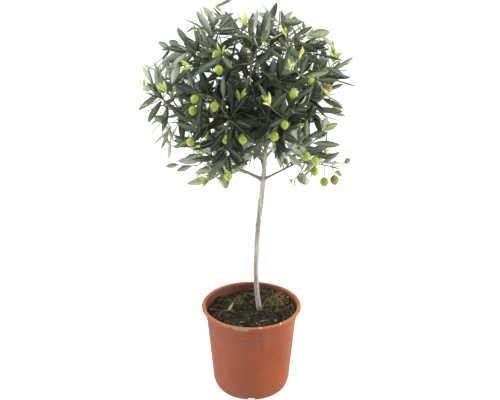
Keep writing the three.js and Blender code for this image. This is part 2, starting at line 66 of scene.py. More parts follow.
POT_HEIGHT = 195.0
POT_RIM = 105.0
POT_COLLAR_FOOT = 162.0
POT_COLLAR = 93.6
POT_FOOT = 68.0
POT_HEEL = dict(height=26.0, flare=13.5)
POT_WALL = 2.2
POT_FLOOR = 2.6
NOTCH = dict(count=4, width=14.0, height=13.5, inner=57.0)
# Heights and inner radii of the pot's wall.
WALL_INSIDE = ((2.6, 67.2), (13, 75.2), (26, 79.3), (162, 91.4), (164, 93.0), (188, 94.8), (194, 97.2))

SOIL_LEVEL = 176.0  # at the stem
SOIL_RISE = 5.0  # round it
SOIL_SLOPE = (0.05, 0.065)
SOIL_LUMPS = 2.2
SOIL_CALM = 13.0
DIP = dict(x=-40.0, y=82.0, depth=9.0, spread=32.0)
# Clods: their height and size, and the noise's seed and shift.
CLODS = ((4.4, 19, 5, 9, 3), (3.2, 8, 6, 0, 0), (1.5, 3.2, 7, 0, 0))
CRUMBS = 520
STONES = ((-19, -57, 3.2), (50, -48, 2.8), (79, 44, 2.6), (11, -58, 1.6))  # x, y and size
# The middle and spread in x and in y of the tangle of fibres and of the small clump.
FIBRES = dict(count=340, tangle=((58, 16), (42, 20)), clump=((-31, 6), (39, 4)), clumped=0.26, edge=86)
# Fallen leaves: place, heading, length, width and finish.
LITTER = (
    ((-38, 33), -1.85, 38, 6.5, 2), ((18, -50), 0.5, 17, 8, 0), ((-58, -6), 0.1, 12, 6, 1),
    ((8, 58), 2.5, 14, 4, 1), ((62, 10), 1.2, 18, 5, 1), ((-12, -48), 2.9, 14, 5, 1),
)

TRUNK_TOP = 600.0
TRUNK_LEAN = (17.4, -69.9, 182.3, -99.6)
TRUNK_BOW = dict(base=9.0, depth=3.0)
STEM_FOOT = (TRUNK_LEAN[0], TRUNK_BOW["base"])
TRUNK_FOOT = 6.9
TRUNK_FLARE = 9.0
TRUNK_RADIUS = 5.2
TRUNK_FORK = 478.0
TRUNK_TIP = 2.7
KNOTS = (328.0, 375.0, 427.0)
KNOT_LENGTH = 5.0
KNOT_FACING = (3.1, 2.8, 0.5)  # the side each knot stands out on, in radians from +X
BOUGH_TAPER = 0.7
BOUGH_DEPTH = 9.0  # how far a bough goes into its mass
STEM = dict(knee=5.0, beyond=14.0, pull=0.45)

CROWN_CENTRE = np.array([-6.0, 0.0, 667.0])
CROWN_REACH = np.array([226.0, 212.0, 201.0])
CROWN_FULLNESS = 3.4
CROWN_HEM = dict(height=460.0, slope=0.46)
CROWN_TIPS = np.array([135.0, 134.0, 126.0])
CROWN_SHOULDER = 2.8
CROWN_BUMP = 0.07
CROWN_LAYERS = ((42, 1.0), (9, 0.66), (6, 0.36))  # how many shoots end on each nested form, and its scale
HOLLOW = dict(x=27.0, y=9.0, neck=8.0, spread=0.5, top=546.0, forward=0.42)

# Each kind of twig: radius at its start and end, share without leaves, how often young leaves end it,
# share past which it keeps clear, depth it keeps in its mass's space, points and sides, and finish.
TWIG_KINDS = dict(
    shoot=dict(radii=(1.5, 0.85), bare=0.28, young=0.24, clear=0.2, depth=1.8, grid=(14, 8), finish=1),
    side=dict(radii=(1.1, 0.7), bare=0.3, young=0.08, clear=0.0, depth=1.4, grid=(14, 8), finish=1),
    bearing=dict(radii=(0.85, 0.6), bare=0.3, young=0.0, clear=0.0, depth=1.15, grid=(7, 6), finish=2),
    spring=dict(radii=(1.0, 0.6), bare=0.35, young=1.0, clear=0.1, depth=-14, grid=(7, 6), finish=2),
    twiglet=dict(radii=(0.8, 0.55), bare=0.25, young=0.08, clear=0.1, depth=-14, grid=(7, 6), finish=2),
)
# Pairs of numbers are the limits between which the rule picks.
SHOOT = dict(root=(0.25, 0.95), arch=0.08, long=100.0)
FORK = dict(long=(0.3, 0.62), short=(0.42,), shift=0.1, forward=0.68, aside=0.73, turn=math.pi + 0.6,
            length=58.0, size=(0.75, 1.25))
FRUIT = dict(length=20.0, width=16.5, stalk=6.0, reach=90.0, size=(0.9, 1.06), lean=(-0.25, 0.25))
TWIGLET = dict(spacing=30.0, length=(20.0, 40.0), shift=(0.2, 0.6), turn=2.2)
SPRING = dict(reach=110.0, sag=0.08)
LEAF = dict(length=60.0, width=16.0, thick=0.8, spacing=19.0, size=(0.74, 1.14), last_size=0.7,
            spread=(0.65, 1.15), last_spread=(0.45, 0.65), turn=(-0.3, 0.3), droop=(-0.02, 0.22),
            upright=0.8, roll=(-0.6, 0.6), far_roll=(1.2, 3.1), breadth=(0.82, 1.14),
            bend=(-0.04, 0.2), fold=(0.04, 0.18), twist=(-0.4, 0.4), stray=26.0, clear=1.5)
# Size and spread of each pair of young leaves at a shoot's end, and what sets them off from old leaves.
TUFT = dict(pairs=((0.5, 0.55), (0.42, 0.36), (0.26, 0.2)), step=5, width=0.64, length=0.9,
            fold=-0.4, bend=0.12)
# Painted shade darkens leaves in the crown's middle (start, aside); painted light pales them away from it and
# below it (aside, low); spray and leaf give tones that differ at random.
SHADE_AND_TONE = dict(aside=9.8, start=-3.5, low=3.8, spray=2.4, leaf=2.2)
BARE = dict(most=0.63, start=0.6, full=0.92)

# The masses of foliage: centre, height and radius of the bough that bears it, and the bough's arch.
MASSES = [
    dict(name="low_left", centre=(-80, -20, 545), start=478, radius=4.3, arch=0.0),
    dict(name="low_right", centre=(112, -18, 540), start=479, radius=2.9, arch=0.0),
    dict(name="low_back", centre=(0, 112, 565), start=500, radius=3.2, arch=0.08),
    dict(name="side_left", centre=(-150, 5, 640), start=531, radius=2.7, arch=0.1),
    dict(name="side_right", centre=(138, 12, 655), start=528, radius=2.6, arch=0.02),
    dict(name="front_left", centre=(-62, -112, 655), start=537, radius=2.6, arch=0.14),
    dict(name="front_right", centre=(66, -114, 662), start=544, radius=2.6, arch=0.14),
    dict(name="back_left", centre=(-88, 108, 690), start=550, radius=2.6, arch=0.12),
    dict(name="back_right", centre=(86, 108, 700), start=556, radius=2.6, arch=0.12),
    dict(name="top_left", centre=(-88, -12, 762), start=563, radius=2.6, arch=0.02),
    dict(name="top_right", centre=(74, -18, 772), start=570, radius=2.6, arch=0.02),
    dict(name="top_back", centre=(2, 84, 785), start=577, radius=2.4, arch=0.0),
    dict(name="top_front", centre=(-4, -84, 765), start=584, radius=2.4, arch=0.0),
    dict(name="heart", centre=(24, 4, 672), start=TRUNK_TOP, radius=None, arch=0.0),
]
# Tips of the long shoots that make the crown's outline uneven.
LEADERS = [
    (-62, -12, 806), (20, -50, 800), (68, -26, 800), (130, -12, 756), (160, -10, 733),
    (180, -6, 508), (118, -62, 516), (84, -110, 532), (82, 40, 512), (-90, -40, 500),
    (-128, 42, 522), (-52, -100, 544), (-176, -40, 602), (-178, -8, 714), (-176, -52, 680),
]
# The middles of the olives.
OLIVES = np.array([
    (103, -143, 596), (122, -128, 580), (122, -116, 552), (146, -36, 494), (167, -32, 497),
    (-48, -170, 641), (-16, -172, 642), (78, -145, 721), (-65, -108, 787), (-61, -130, 764),
    (-106, -138, 709), (-110, -142, 688), (-69, -158, 702), (62, -162, 667), (43, -166, 645),
    (113, -110, 734), (145, -88, 712), (-116, -136, 622), (-44, -150, 556), (60, 140, 640),
    (78, 128, 624), (-104, 118, 600), (-50, 146, 700), (116, 96, 690),
], float)
# Ends of this spring's shoots, which carry tufts of young leaves.
SPRING_TIPS = np.array([
    (-206, -43, 694), (-194, -36, 738), (-170, -70, 760), (-200, -70, 672), (-108, -130, 768),
    (-80, -30, 836), (-113, -40, 818), (-6, -76, 832), (33, -114, 808), (66, -86, 812),
    (88, -120, 780), (150, -58, 768), (72, -142, 765), (134, -126, 726), (90, -162, 708),
    (34, -182, 712), (-106, -172, 624), (-73, -186, 622), (-160, -120, 714), (134, -140, 646),
    (166, -76, 732), (-60, 120, 800), (110, 130, 740), (0, 165, 700), (-150, 110, 660), (160, 80, 600),
], float)
TURNING = {(167, -32, 497), (145, -88, 712)}  # olives that have begun to turn brown
# No leaf hangs right before an olive on this side.
OPEN_SIDE = dict(way=np.array([0.0, -0.91, 0.42]), aside=8.0, nearest=-8.0, farthest=110.0)
STALK_RADII = np.array([0.7, 0.55, 0.5, 0.5, 0.55, 0.7, 1.1, 1.7])
RUBS = ((0.0188, 0.0024), (0.0603, 0.0016))  # places along the lip and half widths, in metres

UP = np.array([0.0, 0.0, 1.0])
TURN = 2 * math.pi


# ---- Small tools ---------------------------------------------------------------------------------


def unit(vectors):
    """Each vector divided by its length."""
    return vectors / np.maximum(np.linalg.norm(vectors, axis=-1, keepdims=True), 1e-9)


def smoothstep(value, low, high):
    """0 below low, 1 above high, and t²(3 - 2t) between."""
    t = np.clip((value - low) / (high - low), 0, 1)
    return t * t * (3 - 2 * t)


def seeded(seed):
    """Numbers from 0 to 1: state becomes (1664525 state + 1013904223) mod 2^32 at each draw."""
    state = seed

    def draw():
        nonlocal state
        state = (state * 1664525 + 1013904223) % 2**32
        return state / 2**32

    return draw


def pick(draw, low, high):
    """A number drawn between two limits."""
    return low + (high - low) * draw()


def run_along(path):
    """The length of a path up to each of its points."""
    return np.concatenate([[0], np.cumsum(np.linalg.norm(np.diff(path, axis=0), axis=1))])


def turn_about_z(angle):
    """The matrix that turns rows of x, y and z about Z."""
    cos, sin = math.cos(angle), math.sin(angle)
    return np.array([[cos, sin, 0], [-sin, cos, 0], [0, 0, 1]])


def lattice_noise(x, y, seed):
    """Smooth noise from -1 to 1: random values at whole-number points, blended by t²(3 - 2t)."""
    table = np.random.default_rng(seed).uniform(-1, 1, (64, 64))
    column, row = np.floor(x).astype(int), np.floor(y).astype(int)
    u, v = smoothstep(x - column, 0, 1), smoothstep(y - row, 0, 1)

    def at(i, j):
        return table[(column + i) % 64, (row + j) % 64]

    low = at(0, 0) * (1 - u) + at(1, 0) * u
    high = at(0, 1) * (1 - u) + at(1, 1) * u
    return low * (1 - v) + high * v


def ring_faces(rings, sides, start=0):
    """Quads between each ring of a closed tube's grid and the next."""
    ring, side = np.meshgrid(np.arange(rings - 1), np.arange(sides), indexing="ij")
    following = (side + 1) % sides
    corners = [ring * sides + side, ring * sides + following,
               (ring + 1) * sides + following, (ring + 1) * sides + side]
    return start + np.stack(corners, -1).reshape(-1, 4)


def closed_grid(rings, first_pole, last_pole):
    """Points and faces of a closed surface: a grid of rings with one point at each end.

    A cap's triangles are written as quads that repeat the pole, and are cleaned when the mesh is made.
    """
    count, sides, _ = rings.shape
    points = np.concatenate([rings.reshape(-1, 3), [first_pole], [last_pole]])
    side = np.arange(sides)
    following = (side + 1) % sides
    first, last = count * sides, count * sides + 1
    end = (count - 1) * sides
    caps = [np.stack([following, side, np.full(sides, first), np.full(sides, first)], -1),
            np.stack([end + side, end + following, np.full(sides, last), np.full(sides, last)], -1)]
    return points, np.concatenate([ring_faces(count, sides), *caps])


def frames_along(path):
    """Directions along a path and two square to it, carried from point to point without turning."""
    tangents = unit(np.gradient(path, axis=0))
    normal = sideways(tangents[0], 0.0)
    normals = []
    for tangent in tangents:
        normal = unit(normal - tangent * normal.dot(tangent))
        normals.append(normal)
    normals = np.array(normals)
    return tangents, normals, np.cross(tangents, normals)


def tube(path, radii, sides, relief=None):
    """A circle carried along a path: point = path(s) + (r(s) + relief(s, a)) (cos a n + sin a b)."""
    _, normals, across = frames_along(path)
    angle = TURN * np.arange(sides) / sides
    out = normals[:, None] * np.cos(angle)[None, :, None] + across[:, None] * np.sin(angle)[None, :, None]
    radius = np.broadcast_to(np.asarray(radii, float)[:, None], (len(path), sides))
    if relief is not None:
        radius = radius + relief
    return closed_grid(path[:, None] + out * radius[..., None], path[0], path[-1])


def joined(parts):
    """Many (points, faces, slots) made one, with each part's faces counted on from the last."""
    points, faces, slots, start = [], [], [], 0
    for some_points, some_faces, some_slots in parts:
        points.append(some_points)
        faces.append(some_faces + start)
        slots.append(np.broadcast_to(some_slots, len(some_faces)))
        start += len(some_points)
    return np.concatenate(points), np.concatenate(faces), np.concatenate(slots)


def mesh_object(name, points, faces, materials, slots=0):
    """A smooth mesh object from points in millimetres; a quad that repeats a point is a triangle."""
    corners = [face[:3] if face[2] == face[3] else face for face in faces.tolist()]
    mesh = bpy.data.meshes.new(name)
    mesh.from_pydata((points * 0.001).tolist(), [], corners)
    for material in materials:
        mesh.materials.append(material)
    count = len(mesh.polygons)
    mesh.polygons.foreach_set("material_index", np.broadcast_to(slots, count).astype(np.int32))
    mesh.polygons.foreach_set("use_smooth", np.ones(count, bool))
    mesh.update()
    piece = bpy.data.objects.new(name, mesh)
    bpy.context.scene.collection.objects.link(piece)
    return piece


def hand_over(piece, slot, *nodes):
    """The piece rides on the body and stands for the named solids; the slot is not used."""
    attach(piece, "root")
    if nodes:
        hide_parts(*nodes)


# ---- Trunk and boughs ----------------------------------------------------------------------------


def height_share(height):
    return (height - SOIL_LEVEL) / (TRUNK_TOP - SOIL_LEVEL)


def lean_at(height):
    """The x of the trunk's middle: a cubic in the share of the height."""
    share = height_share(height)
    return sum(factor * share**power for power, factor in enumerate(TRUNK_LEAN))


def trunk_point(height):
    """The trunk's middle; y bows out by a half sine."""
    height = np.asarray(height, float)
    y = TRUNK_BOW["base"] + TRUNK_BOW["depth"] * np.sin(math.pi * height_share(height))
    return np.stack([lean_at(height), y, height], -1)


def trunk_radius(height):
    """A slow taper to the fork, a quicker one above, a flare e^(-z/9) at the foot and a bell at each knot."""
    height = np.asarray(height, float)
    above = np.clip((height - TRUNK_FORK) / (TRUNK_TOP - TRUNK_FORK), 0, 1) ** 0.7
    radius = TRUNK_RADIUS + (TRUNK_TIP - TRUNK_RADIUS) * above
    radius = radius + (TRUNK_FOOT - TRUNK_RADIUS) * np.exp(-(height - SOIL_LEVEL) / TRUNK_FLARE)
    return radius + sum(np.exp(-(((height - knot) / KNOT_LENGTH) ** 2)) for knot in KNOTS)


def soil_height(x, y):
    """A gentle slope with lumps and a dip, lower and level round the stem's foot."""
    dx, dy = x - STEM_FOOT[0], y - STEM_FOOT[1]
    calm = smoothstep(np.hypot(dx, dy), SOIL_CALM, 2.4 * SOIL_CALM)
    lumps = SOIL_LUMPS * np.sin(x / 15 + 1) * np.cos(y / 12)
    apart = np.hypot(x - DIP["x"], y - DIP["y"]) / DIP["spread"]
    dip = DIP["depth"] * np.exp(-(apart**2))
    return SOIL_LEVEL + calm * (SOIL_RISE + SOIL_SLOPE[0] * dx + SOIL_SLOPE[1] * dy + lumps) - dip


def depth_in_cell(points, mass):
    """The least distance by which points are inside the space of one mass."""
    points = np.atleast_2d(points)
    others = np.array([other["middle"] for other in MASSES if other is not mass])
    apart = np.linalg.norm(others - mass["middle"], axis=1)
    to_others = ((points[:, None] - others) ** 2).sum(-1)
    to_own = ((points - mass["middle"]) ** 2).sum(-1)[:, None]
    return ((to_others - to_own) / (2 * apart)).min(1)


def curve_through(start, middle, end, count):
    """A quadratic Bezier curve with these three control points."""
    t = np.linspace(0, 1, count)[:, None]
    return (1 - t) ** 2 * start + 2 * t * (1 - t) * middle + t**2 * end


def evenly(path, count):
    """The same path in points at even distances."""
    run = run_along(path)
    share = np.linspace(0, run[-1], count)
    return np.stack([np.interp(share, run, path[:, axis]) for axis in range(3)], -1)


def bough_path(mass, count):
    """From the trunk's middle to where the bough enters its mass, raised by its arch."""
    start = trunk_point(mass["start"])
    share, tip = 0.2, None
    while tip is None or (depth_in_cell(tip, mass)[0] < BOUGH_DEPTH and share < 0.9):
        share += 0.02
        tip = start + (mass["middle"] - start) * share
    raised = (start + tip) / 2
    raised[2] += mass["arch"] * np.linalg.norm(tip - start)
    return evenly(curve_through(start, raised, tip, 4 * count), count)


# ---- The growth rule -----------------------------------------------------------------------------


def sideways(tangent, angle):
    """A direction square to a tangent, turned by an angle about it."""
    across = np.cross(tangent, UP)
    across = np.array([1.0, 0, 0]) if across.dot(across) < 1e-4 else unit(across)
    return across * math.cos(angle) + np.cross(tangent, across) * math.sin(angle)


def path_at(path, share):
    """The place and direction at a share of a path's length."""
    run = run_along(path)
    left = share * run[-1]
    leg = int(np.clip(np.searchsorted(run, left, "left") - 1, 0, len(path) - 2))
    tangent = unit(path[leg + 1] - path[leg])
    return path[leg] + tangent * (left - run[leg]), tangent


def nearest_on(paths, first, place):
    """The place on any of the paths, past a first share of each, that is nearest to a given place."""
    places = np.array([path_at(path, share)[0] for path in paths for share in np.arange(first, 0.96, 0.05)])
    return places[np.linalg.norm(places - place, axis=1).argmin()]


def new_twig(kind, *points):
    """A twig of one kind through two or three points."""
    return dict(TWIG_KINDS[kind], path=np.array(points))


def in_hollow(points):
    """True in the clear space round the trunk under the crown, which is open to the front."""
    points = np.atleast_2d(points)
    forward = np.maximum(0, HOLLOW["y"] - points[:, 1])
    aside = points[:, 0] - HOLLOW["x"]
    away = np.where(forward > 0, np.abs(aside), np.hypot(aside, points[:, 1] - HOLLOW["y"]))
    height = points[:, 2] - HOLLOW["forward"] * forward
    return away < HOLLOW["neck"] + HOLLOW["spread"] * (HOLLOW["top"] - height)


def in_crown(points):
    """True inside the crown: an ellipsoid above its centre, a fuller form below, cut off by a sloping hem."""
    points = np.atleast_2d(points)
    out = (points - CROWN_CENTRE) / CROWN_REACH
    power = np.where(out[:, 2] < 0, CROWN_FULLNESS, 2.0)
    above_hem = points[:, 2] >= CROWN_HEM["height"] - CROWN_HEM["slope"] * points[:, 1]
    return above_hem & (np.hypot(out[:, 0], out[:, 1]) ** power + np.abs(out[:, 2]) ** power < 1)


def off_limbs(points, radius):
    """True if a ball of this radius round each point is off every limb."""
    away = np.linalg.norm(np.atleast_2d(points)[:, None] - BEADS[:, :3], axis=-1)
    return (away > BEADS[:, 3] + radius + CLEAR).all(1)


def is_free(twig, mass):
    """True if a twig, past its start, stays in the crown and in its mass's space, and off the limbs."""
    places = evenly(twig["path"], 200)[int(200 * twig["clear"])::6]
    inside = in_crown(places) & (depth_in_cell(places, mass) > twig["depth"]) & ~in_hollow(places)
    return bool((inside & off_limbs(places, twig["radii"][0])).all())


def shoot_tips():
    """Points spread by the golden angle over nested forms, pushed in and out a little, and the leaders."""
    tips = []
    for count, scale in CROWN_LAYERS:
        i = np.arange(count)
        z = 1 - 2 * (i + 0.5) / count
        flat = np.sqrt(1 - z * z)
        angle = math.pi * (3 - math.sqrt(5)) * i
        way = np.stack([flat * np.cos(angle), flat * np.sin(angle), z], -1)
        power = np.where(z > 0, CROWN_SHOULDER, 2.0)
        full = (flat**power + np.abs(z) ** power) ** (-1 / power)
        out = scale * full * (1 + CROWN_BUMP * np.sin(2.4 * i))
        tips.append(way * CROWN_TIPS * out[:, None] + CROWN_CENTRE)
    tips = np.concatenate([*tips, np.array(LEADERS, float)])
    return tips[~in_hollow(tips)]


def stem_path(mass):
    """Straight on from the bough's tip, then through the middle of the mass."""
    start = mass["tip"] + mass["heading"] * GAP
    knee = start + mass["heading"] * STEM["knee"]
    end = mass["middle"] + mass["heading"] * STEM["beyond"]
    bend = knee + mass["heading"] * STEM["pull"] * np.linalg.norm(end - knee)
    return np.concatenate([[start], evenly(curve_through(knee, bend, end, 60), 3)])


def smooth_path(path, count):
    """A quadratic curve through a path's two or three points."""
    if len(path) == 2:
        return path[0] + np.linspace(0, 1, count)[:, None] * (path[1] - path[0])
    return curve_through(path[0], 2 * path[1] - (path[0] + path[2]) / 2, path[2], count)


def grow_wood(mass, tips, olives):
    """The stem, shoots and side twigs of one mass, and the short twigs that bear its olives."""
    draw = seeded(mass["seed"])
    stem = stem_path(mass)
    twigs = []
    for tip in tips:
        start, heading = path_at(stem, pick(draw, *SHOOT["root"]))
        reach = np.linalg.norm(tip - start)
        shoot = new_twig("shoot", start, (start + tip) / 2 + heading * SHOOT["arch"] * reach, tip)
        phase = TURN * draw()
        if not is_free(shoot, mass):
            continue
        twigs.append(shoot)
        for i, share in enumerate(FORK["long"] if reach > SHOOT["long"] else FORK["short"]):
            fork, tangent = path_at(shoot["path"], share + FORK["shift"] * draw())
            aside = sideways(tangent, phase + i * FORK["turn"])
            way = tangent * FORK["forward"] + aside * FORK["aside"]
            side = new_twig("side", fork, fork + way * FORK["length"] * pick(draw, *FORK["size"]))
            if is_free(side, mass):
                twigs.append(side)
    wood = [stem, *(twig["path"] for twig in twigs)]
    fruit = []
    for middle in olives:
        if depth_in_cell(middle, mass)[0] <= FRUIT["length"] / 2 + GAP:
            continue
        top = middle + UP * (FRUIT["length"] / 2 + FRUIT["stalk"])
        start = nearest_on(wood, 0.15, top)
        bearing = new_twig("bearing", start, top)
        if np.linalg.norm(top - start) < FRUIT["reach"] and is_free(bearing, mass):
            twigs.append(bearing)
            fruit.append(middle)
    return stem, twigs, fruit


def grow_spring_shoots(mass, twigs, tips):
    """A slim shoot from the nearest place on the twigs to each spring tip, bent upwards at its end."""
    paths = [twig["path"] for twig in twigs]
    shoots = []
    for tip in tips:
        start = nearest_on(paths, 0.3, tip)
        reach = np.linalg.norm(tip - start)
        shoot = new_twig("spring", start, (start + tip) / 2 - UP * SPRING["sag"] * reach, tip)
        if reach < SPRING["reach"] and is_free(shoot, mass):
            shoots.append(shoot)
    return shoots


def grow_twiglets(mass, twigs):
    """The rule carried on: short twigs at even distances along each shoot and side twig."""
    draw = seeded(mass["seed"] + 2)
    twiglets = []
    for twig in twigs:
        curve = smooth_path(twig["path"], 24)
        leafy = 1 - twig["bare"]
        count = int(run_along(twig["path"])[-1] * leafy / TWIGLET["spacing"])
        turn = TURN * draw()
        for i in range(count):
            share = twig["bare"] + leafy * (i + pick(draw, *TWIGLET["shift"])) / count
            start, tangent = path_at(curve, min(share, 0.93))
            aside = sideways(tangent, turn + i * TWIGLET["turn"])
            way = unit(tangent * 0.7 + aside * 0.75 + UP * 0.12)
            reach = pick(draw, *TWIGLET["length"])
            knee = start + way * reach * 0.55 + tangent * 1.5
            twiglet = new_twig("twiglet", start, knee, start + way * reach + UP * 2)
            if is_free(twiglet, mass):
                twiglets.append(twiglet)
    return twiglets


# ---- Leaves --------------------------------------------------------------------------------------

# Tones of the upper side, as 0 to 255 on screen, and their sheen: the darkest are painted shade for leaves
# inside the crown, the palest painted light for leaves at its outside.
LEAF_TONES = (
    ((35, 42, 32), 0.26), ((51, 60, 46), 0.32), ((72, 83, 64), 0.45),
    ((97, 109, 87), 0.5), ((130, 141, 117), 0.5), ((170, 177, 154), 0.5),
)
TOP_TONES, YOUNG_TONE = len(LEAF_TONES), 8
SHADED_TONES, SHADED_RIB = 2, 10  # the darkest tones have a darker rib and underside of their own: painted shade
LEAF_STATIONS = np.array([0.04, 0.14, 0.28, 0.46, 0.64, 0.8, 0.93])
# Across a blade: edge, both sides of the rib above, edge, both sides of the rib below.
LEAF_ACROSS = np.array([-1, -0.07, 0.07, 1, 0.12, -0.12])
LEAF_RISE = np.array([0, 0.5, 0.5, 0, -0.62, -0.62])
PETIOLE = 0.9


def leaves_along(twig, draw):
    """Opposite pairs of leaves along a twig, each pair square to the last, and what grows at its tip."""
    curve = smooth_path(twig["path"], 24)
    leafy = 1 - twig["bare"]
    pairs = max(1, round(run_along(curve)[-1] * leafy / LEAF["spacing"]))
    phase = TURN * draw()
    spray = draw()
    young = draw() < twig["young"]
    leaves = []
    for pair in range(pairs + 1):
        last = pair == pairs
        place, tangent = path_at(curve, 0.995 if last else twig["bare"] + leafy * pair / pairs)
        turn = phase + pair * math.pi / 2 + pick(draw, *LEAF["turn"])
        for side in (0, math.pi):
            spread = pick(draw, *LEAF["last_spread" if last else "spread"])
            size = pick(draw, *LEAF["size"]) * (LEAF["last_size"] if last else 1)
            tone = shade_and_tone_at(place, spray, draw)
            leaves.append(leaf_on(place, tangent, turn + side, spread, size, tone, draw))
    if young:
        tip, tangent = path_at(curve, 1)
        leaves += young_tuft(tip, unit(tangent + 0.5 * UP), phase, draw)
    return leaves


def outwardness(place):
    """0 at the crown's centre and 1 where no leaf reaches farther."""
    return float(np.linalg.norm((place - CROWN_CENTRE) / CROWN_REACH))


def shade_and_tone_at(place, spray, draw):
    """Painted shade and light: dark in the crown's middle, paler towards its sides, top and bottom; and
    different in each spray.
    """
    aside = float(np.linalg.norm((place - CROWN_CENTRE) / CROWN_REACH * (1, 0.25, 1)))
    low = max(0.0, float(CROWN_CENTRE[2] - place[2])) / CROWN_REACH[2]
    level = SHADE_AND_TONE["start"] + SHADE_AND_TONE["aside"] * aside + SHADE_AND_TONE["low"] * low
    level += SHADE_AND_TONE["spray"] * (spray - 0.5) + SHADE_AND_TONE["leaf"] * (draw() - 0.5)
    return int(np.clip(level, 0, TOP_TONES - 1))


def leaf_on(root, tangent, angle, spread, size, tone, draw):
    """One leaf: it leans off its twig by a spread, droops a little, and faces up, out and along the twig."""
    way = tangent * math.cos(spread) + sideways(tangent, angle) * math.sin(spread)
    way = unit(way - UP * pick(draw, *LEAF["droop"]))
    outward = unit((root - CROWN_CENTRE) * (1, 1, 0.4))
    face = tangent * 0.4 + UP * 0.5 + outward * 0.55
    face = face - way * face.dot(way)
    face = unit(face) if face.dot(face) > 1e-4 else sideways(way, 0)
    roll = pick(draw, *LEAF["roll" if draw() < LEAF["upright"] else "far_roll"])
    face = face * math.cos(roll) + np.cross(way, face) * math.sin(roll)
    width = LEAF["width"] * pick(draw, *LEAF["breadth"]) * size**0.6
    shape = {key: pick(draw, *LEAF[key]) for key in ("bend", "fold", "twist")}
    return dict(shape, root=root, way=way, face=face, length=LEAF["length"] * size, width=width, tone=tone)


def young_tuft(tip, tangent, phase, draw):
    """Small narrow upright leaves in pairs that open less the nearer they are to the shoot's end."""
    leaves = []
    for pair, (size, spread) in enumerate(TUFT["pairs"]):
        for side in (0, math.pi):
            turn = phase + side + pair * math.pi / 2
            leaf = leaf_on(tip + tangent * TUFT["step"] * pair, tangent, turn, spread, size, YOUNG_TONE, draw)
            leaf.update({key: leaf[key] * TUFT[key] for key in ("width", "length")})
            leaf.update(fold=TUFT["fold"], bend=TUFT["bend"] * draw())
            leaves.append(leaf)
    return leaves


def is_bare(leaf, draw):
    """True for a share of the old leaves' places: none inside, and nearly two in three at the outside."""
    share = BARE["most"] * smoothstep(outwardness(leaf["root"]), BARE["start"], BARE["full"])
    return leaf["tone"] < TOP_TONES and draw() < share


def leaf_fits(leaf, mass):
    """True if a leaf is in the crown, off the limbs, near its mass's space and not right before an olive."""
    share = np.array([0.3, 0.5, 0.75, 1.0])[:, None]
    places = leaf["root"] + (leaf["way"] * share - leaf["face"] * leaf["bend"] * share**2) * leaf["length"]
    inside = in_crown(places) & ~in_hollow(places) & (depth_in_cell(places, mass) > -LEAF["stray"])
    inside &= ((places > BOX[0]) & (places < BOX[1])).all(1)
    if not (inside & off_limbs(places, LEAF["clear"])).all():
        return False
    apart = places[:, None] - OLIVES
    before = apart @ OPEN_SIDE["way"]
    aside = np.linalg.norm(apart - before[..., None] * OPEN_SIDE["way"], axis=-1)
    hides = (aside < OPEN_SIDE["aside"]) & (before > OPEN_SIDE["nearest"]) & (before < OPEN_SIDE["farthest"])
    return not hides.any()


def blades(leaves):
    """Closed blades for many leaves at once.

    A blade's middle line runs root + L s way - L b s² face. Its half width is w/2 sin(πs)^0.75, widest
    just past the middle, above a petiole. Its section is a flat ring of six that folds at the rib and twists.
    """
    root, way, face = (np.array([leaf[key] for leaf in leaves])[:, None] for key in ("root", "way", "face"))
    length, width, bend, fold, twist, tone = (
        np.array([leaf[key] for leaf in leaves])[:, None]
        for key in ("length", "width", "bend", "fold", "twist", "tone"))
    s = LEAF_STATIONS
    across = np.cross(way, face)
    turn = (twist * s)[..., None]
    edge = across * np.cos(turn) + face * np.sin(turn)
    rise = face * np.cos(turn) - across * np.sin(turn)
    middle = root + way * (length * s)[..., None] - face * (length * bend * s**2)[..., None]
    half = width / 2 * np.sin(math.pi * s**1.06) ** 0.75 * smoothstep(s, -0.12, 0.3)
    half[:, 0] = PETIOLE
    thick = LEAF["thick"] * (1.5 - s)
    aside = half[..., None] * LEAF_ACROSS
    raised = thick[:, None] * LEAF_RISE - fold[..., None] * np.abs(aside)
    rings = middle[:, :, None] + edge[:, :, None] * aside[..., None] + rise[:, :, None] * raised[..., None]
    tip = root + way * length[..., None] - face * (length * bend)[..., None]
    points = np.concatenate([rings.reshape(len(leaves), -1, 3), root, tip], 1)
    _, faces = closed_grid(np.zeros((len(s), 6, 3)), np.zeros(3), np.zeros(3))
    faces = faces[None] + (np.arange(len(leaves)) * points.shape[1])[:, None, None]
    return points.reshape(-1, 3), faces.reshape(-1, 4), blade_slots(tone, len(s)).reshape(-1)


def blade_slots(tone, stations):
    """The finish of each face: the top by its tone, then rib and underside, with young leaves apart."""
    column = np.concatenate([np.tile(np.arange(6), stations - 1), np.arange(6), np.arange(6)])
    top = np.isin(column, (0, 2))[None]
    rib = (column == 1)[None]
    # Leaves of the darkest tones take the darker rib and underside: painted shade.
    back = np.where(tone < SHADED_TONES, SHADED_RIB, TOP_TONES) + np.where(rib, 0, 1)
    young = np.where(top | rib, YOUNG_TONE, YOUNG_TONE + 1)
    return np.where(tone >= YOUNG_TONE, young, np.where(top, tone, back))


# ---- Olives --------------------------------------------------------------------------------------


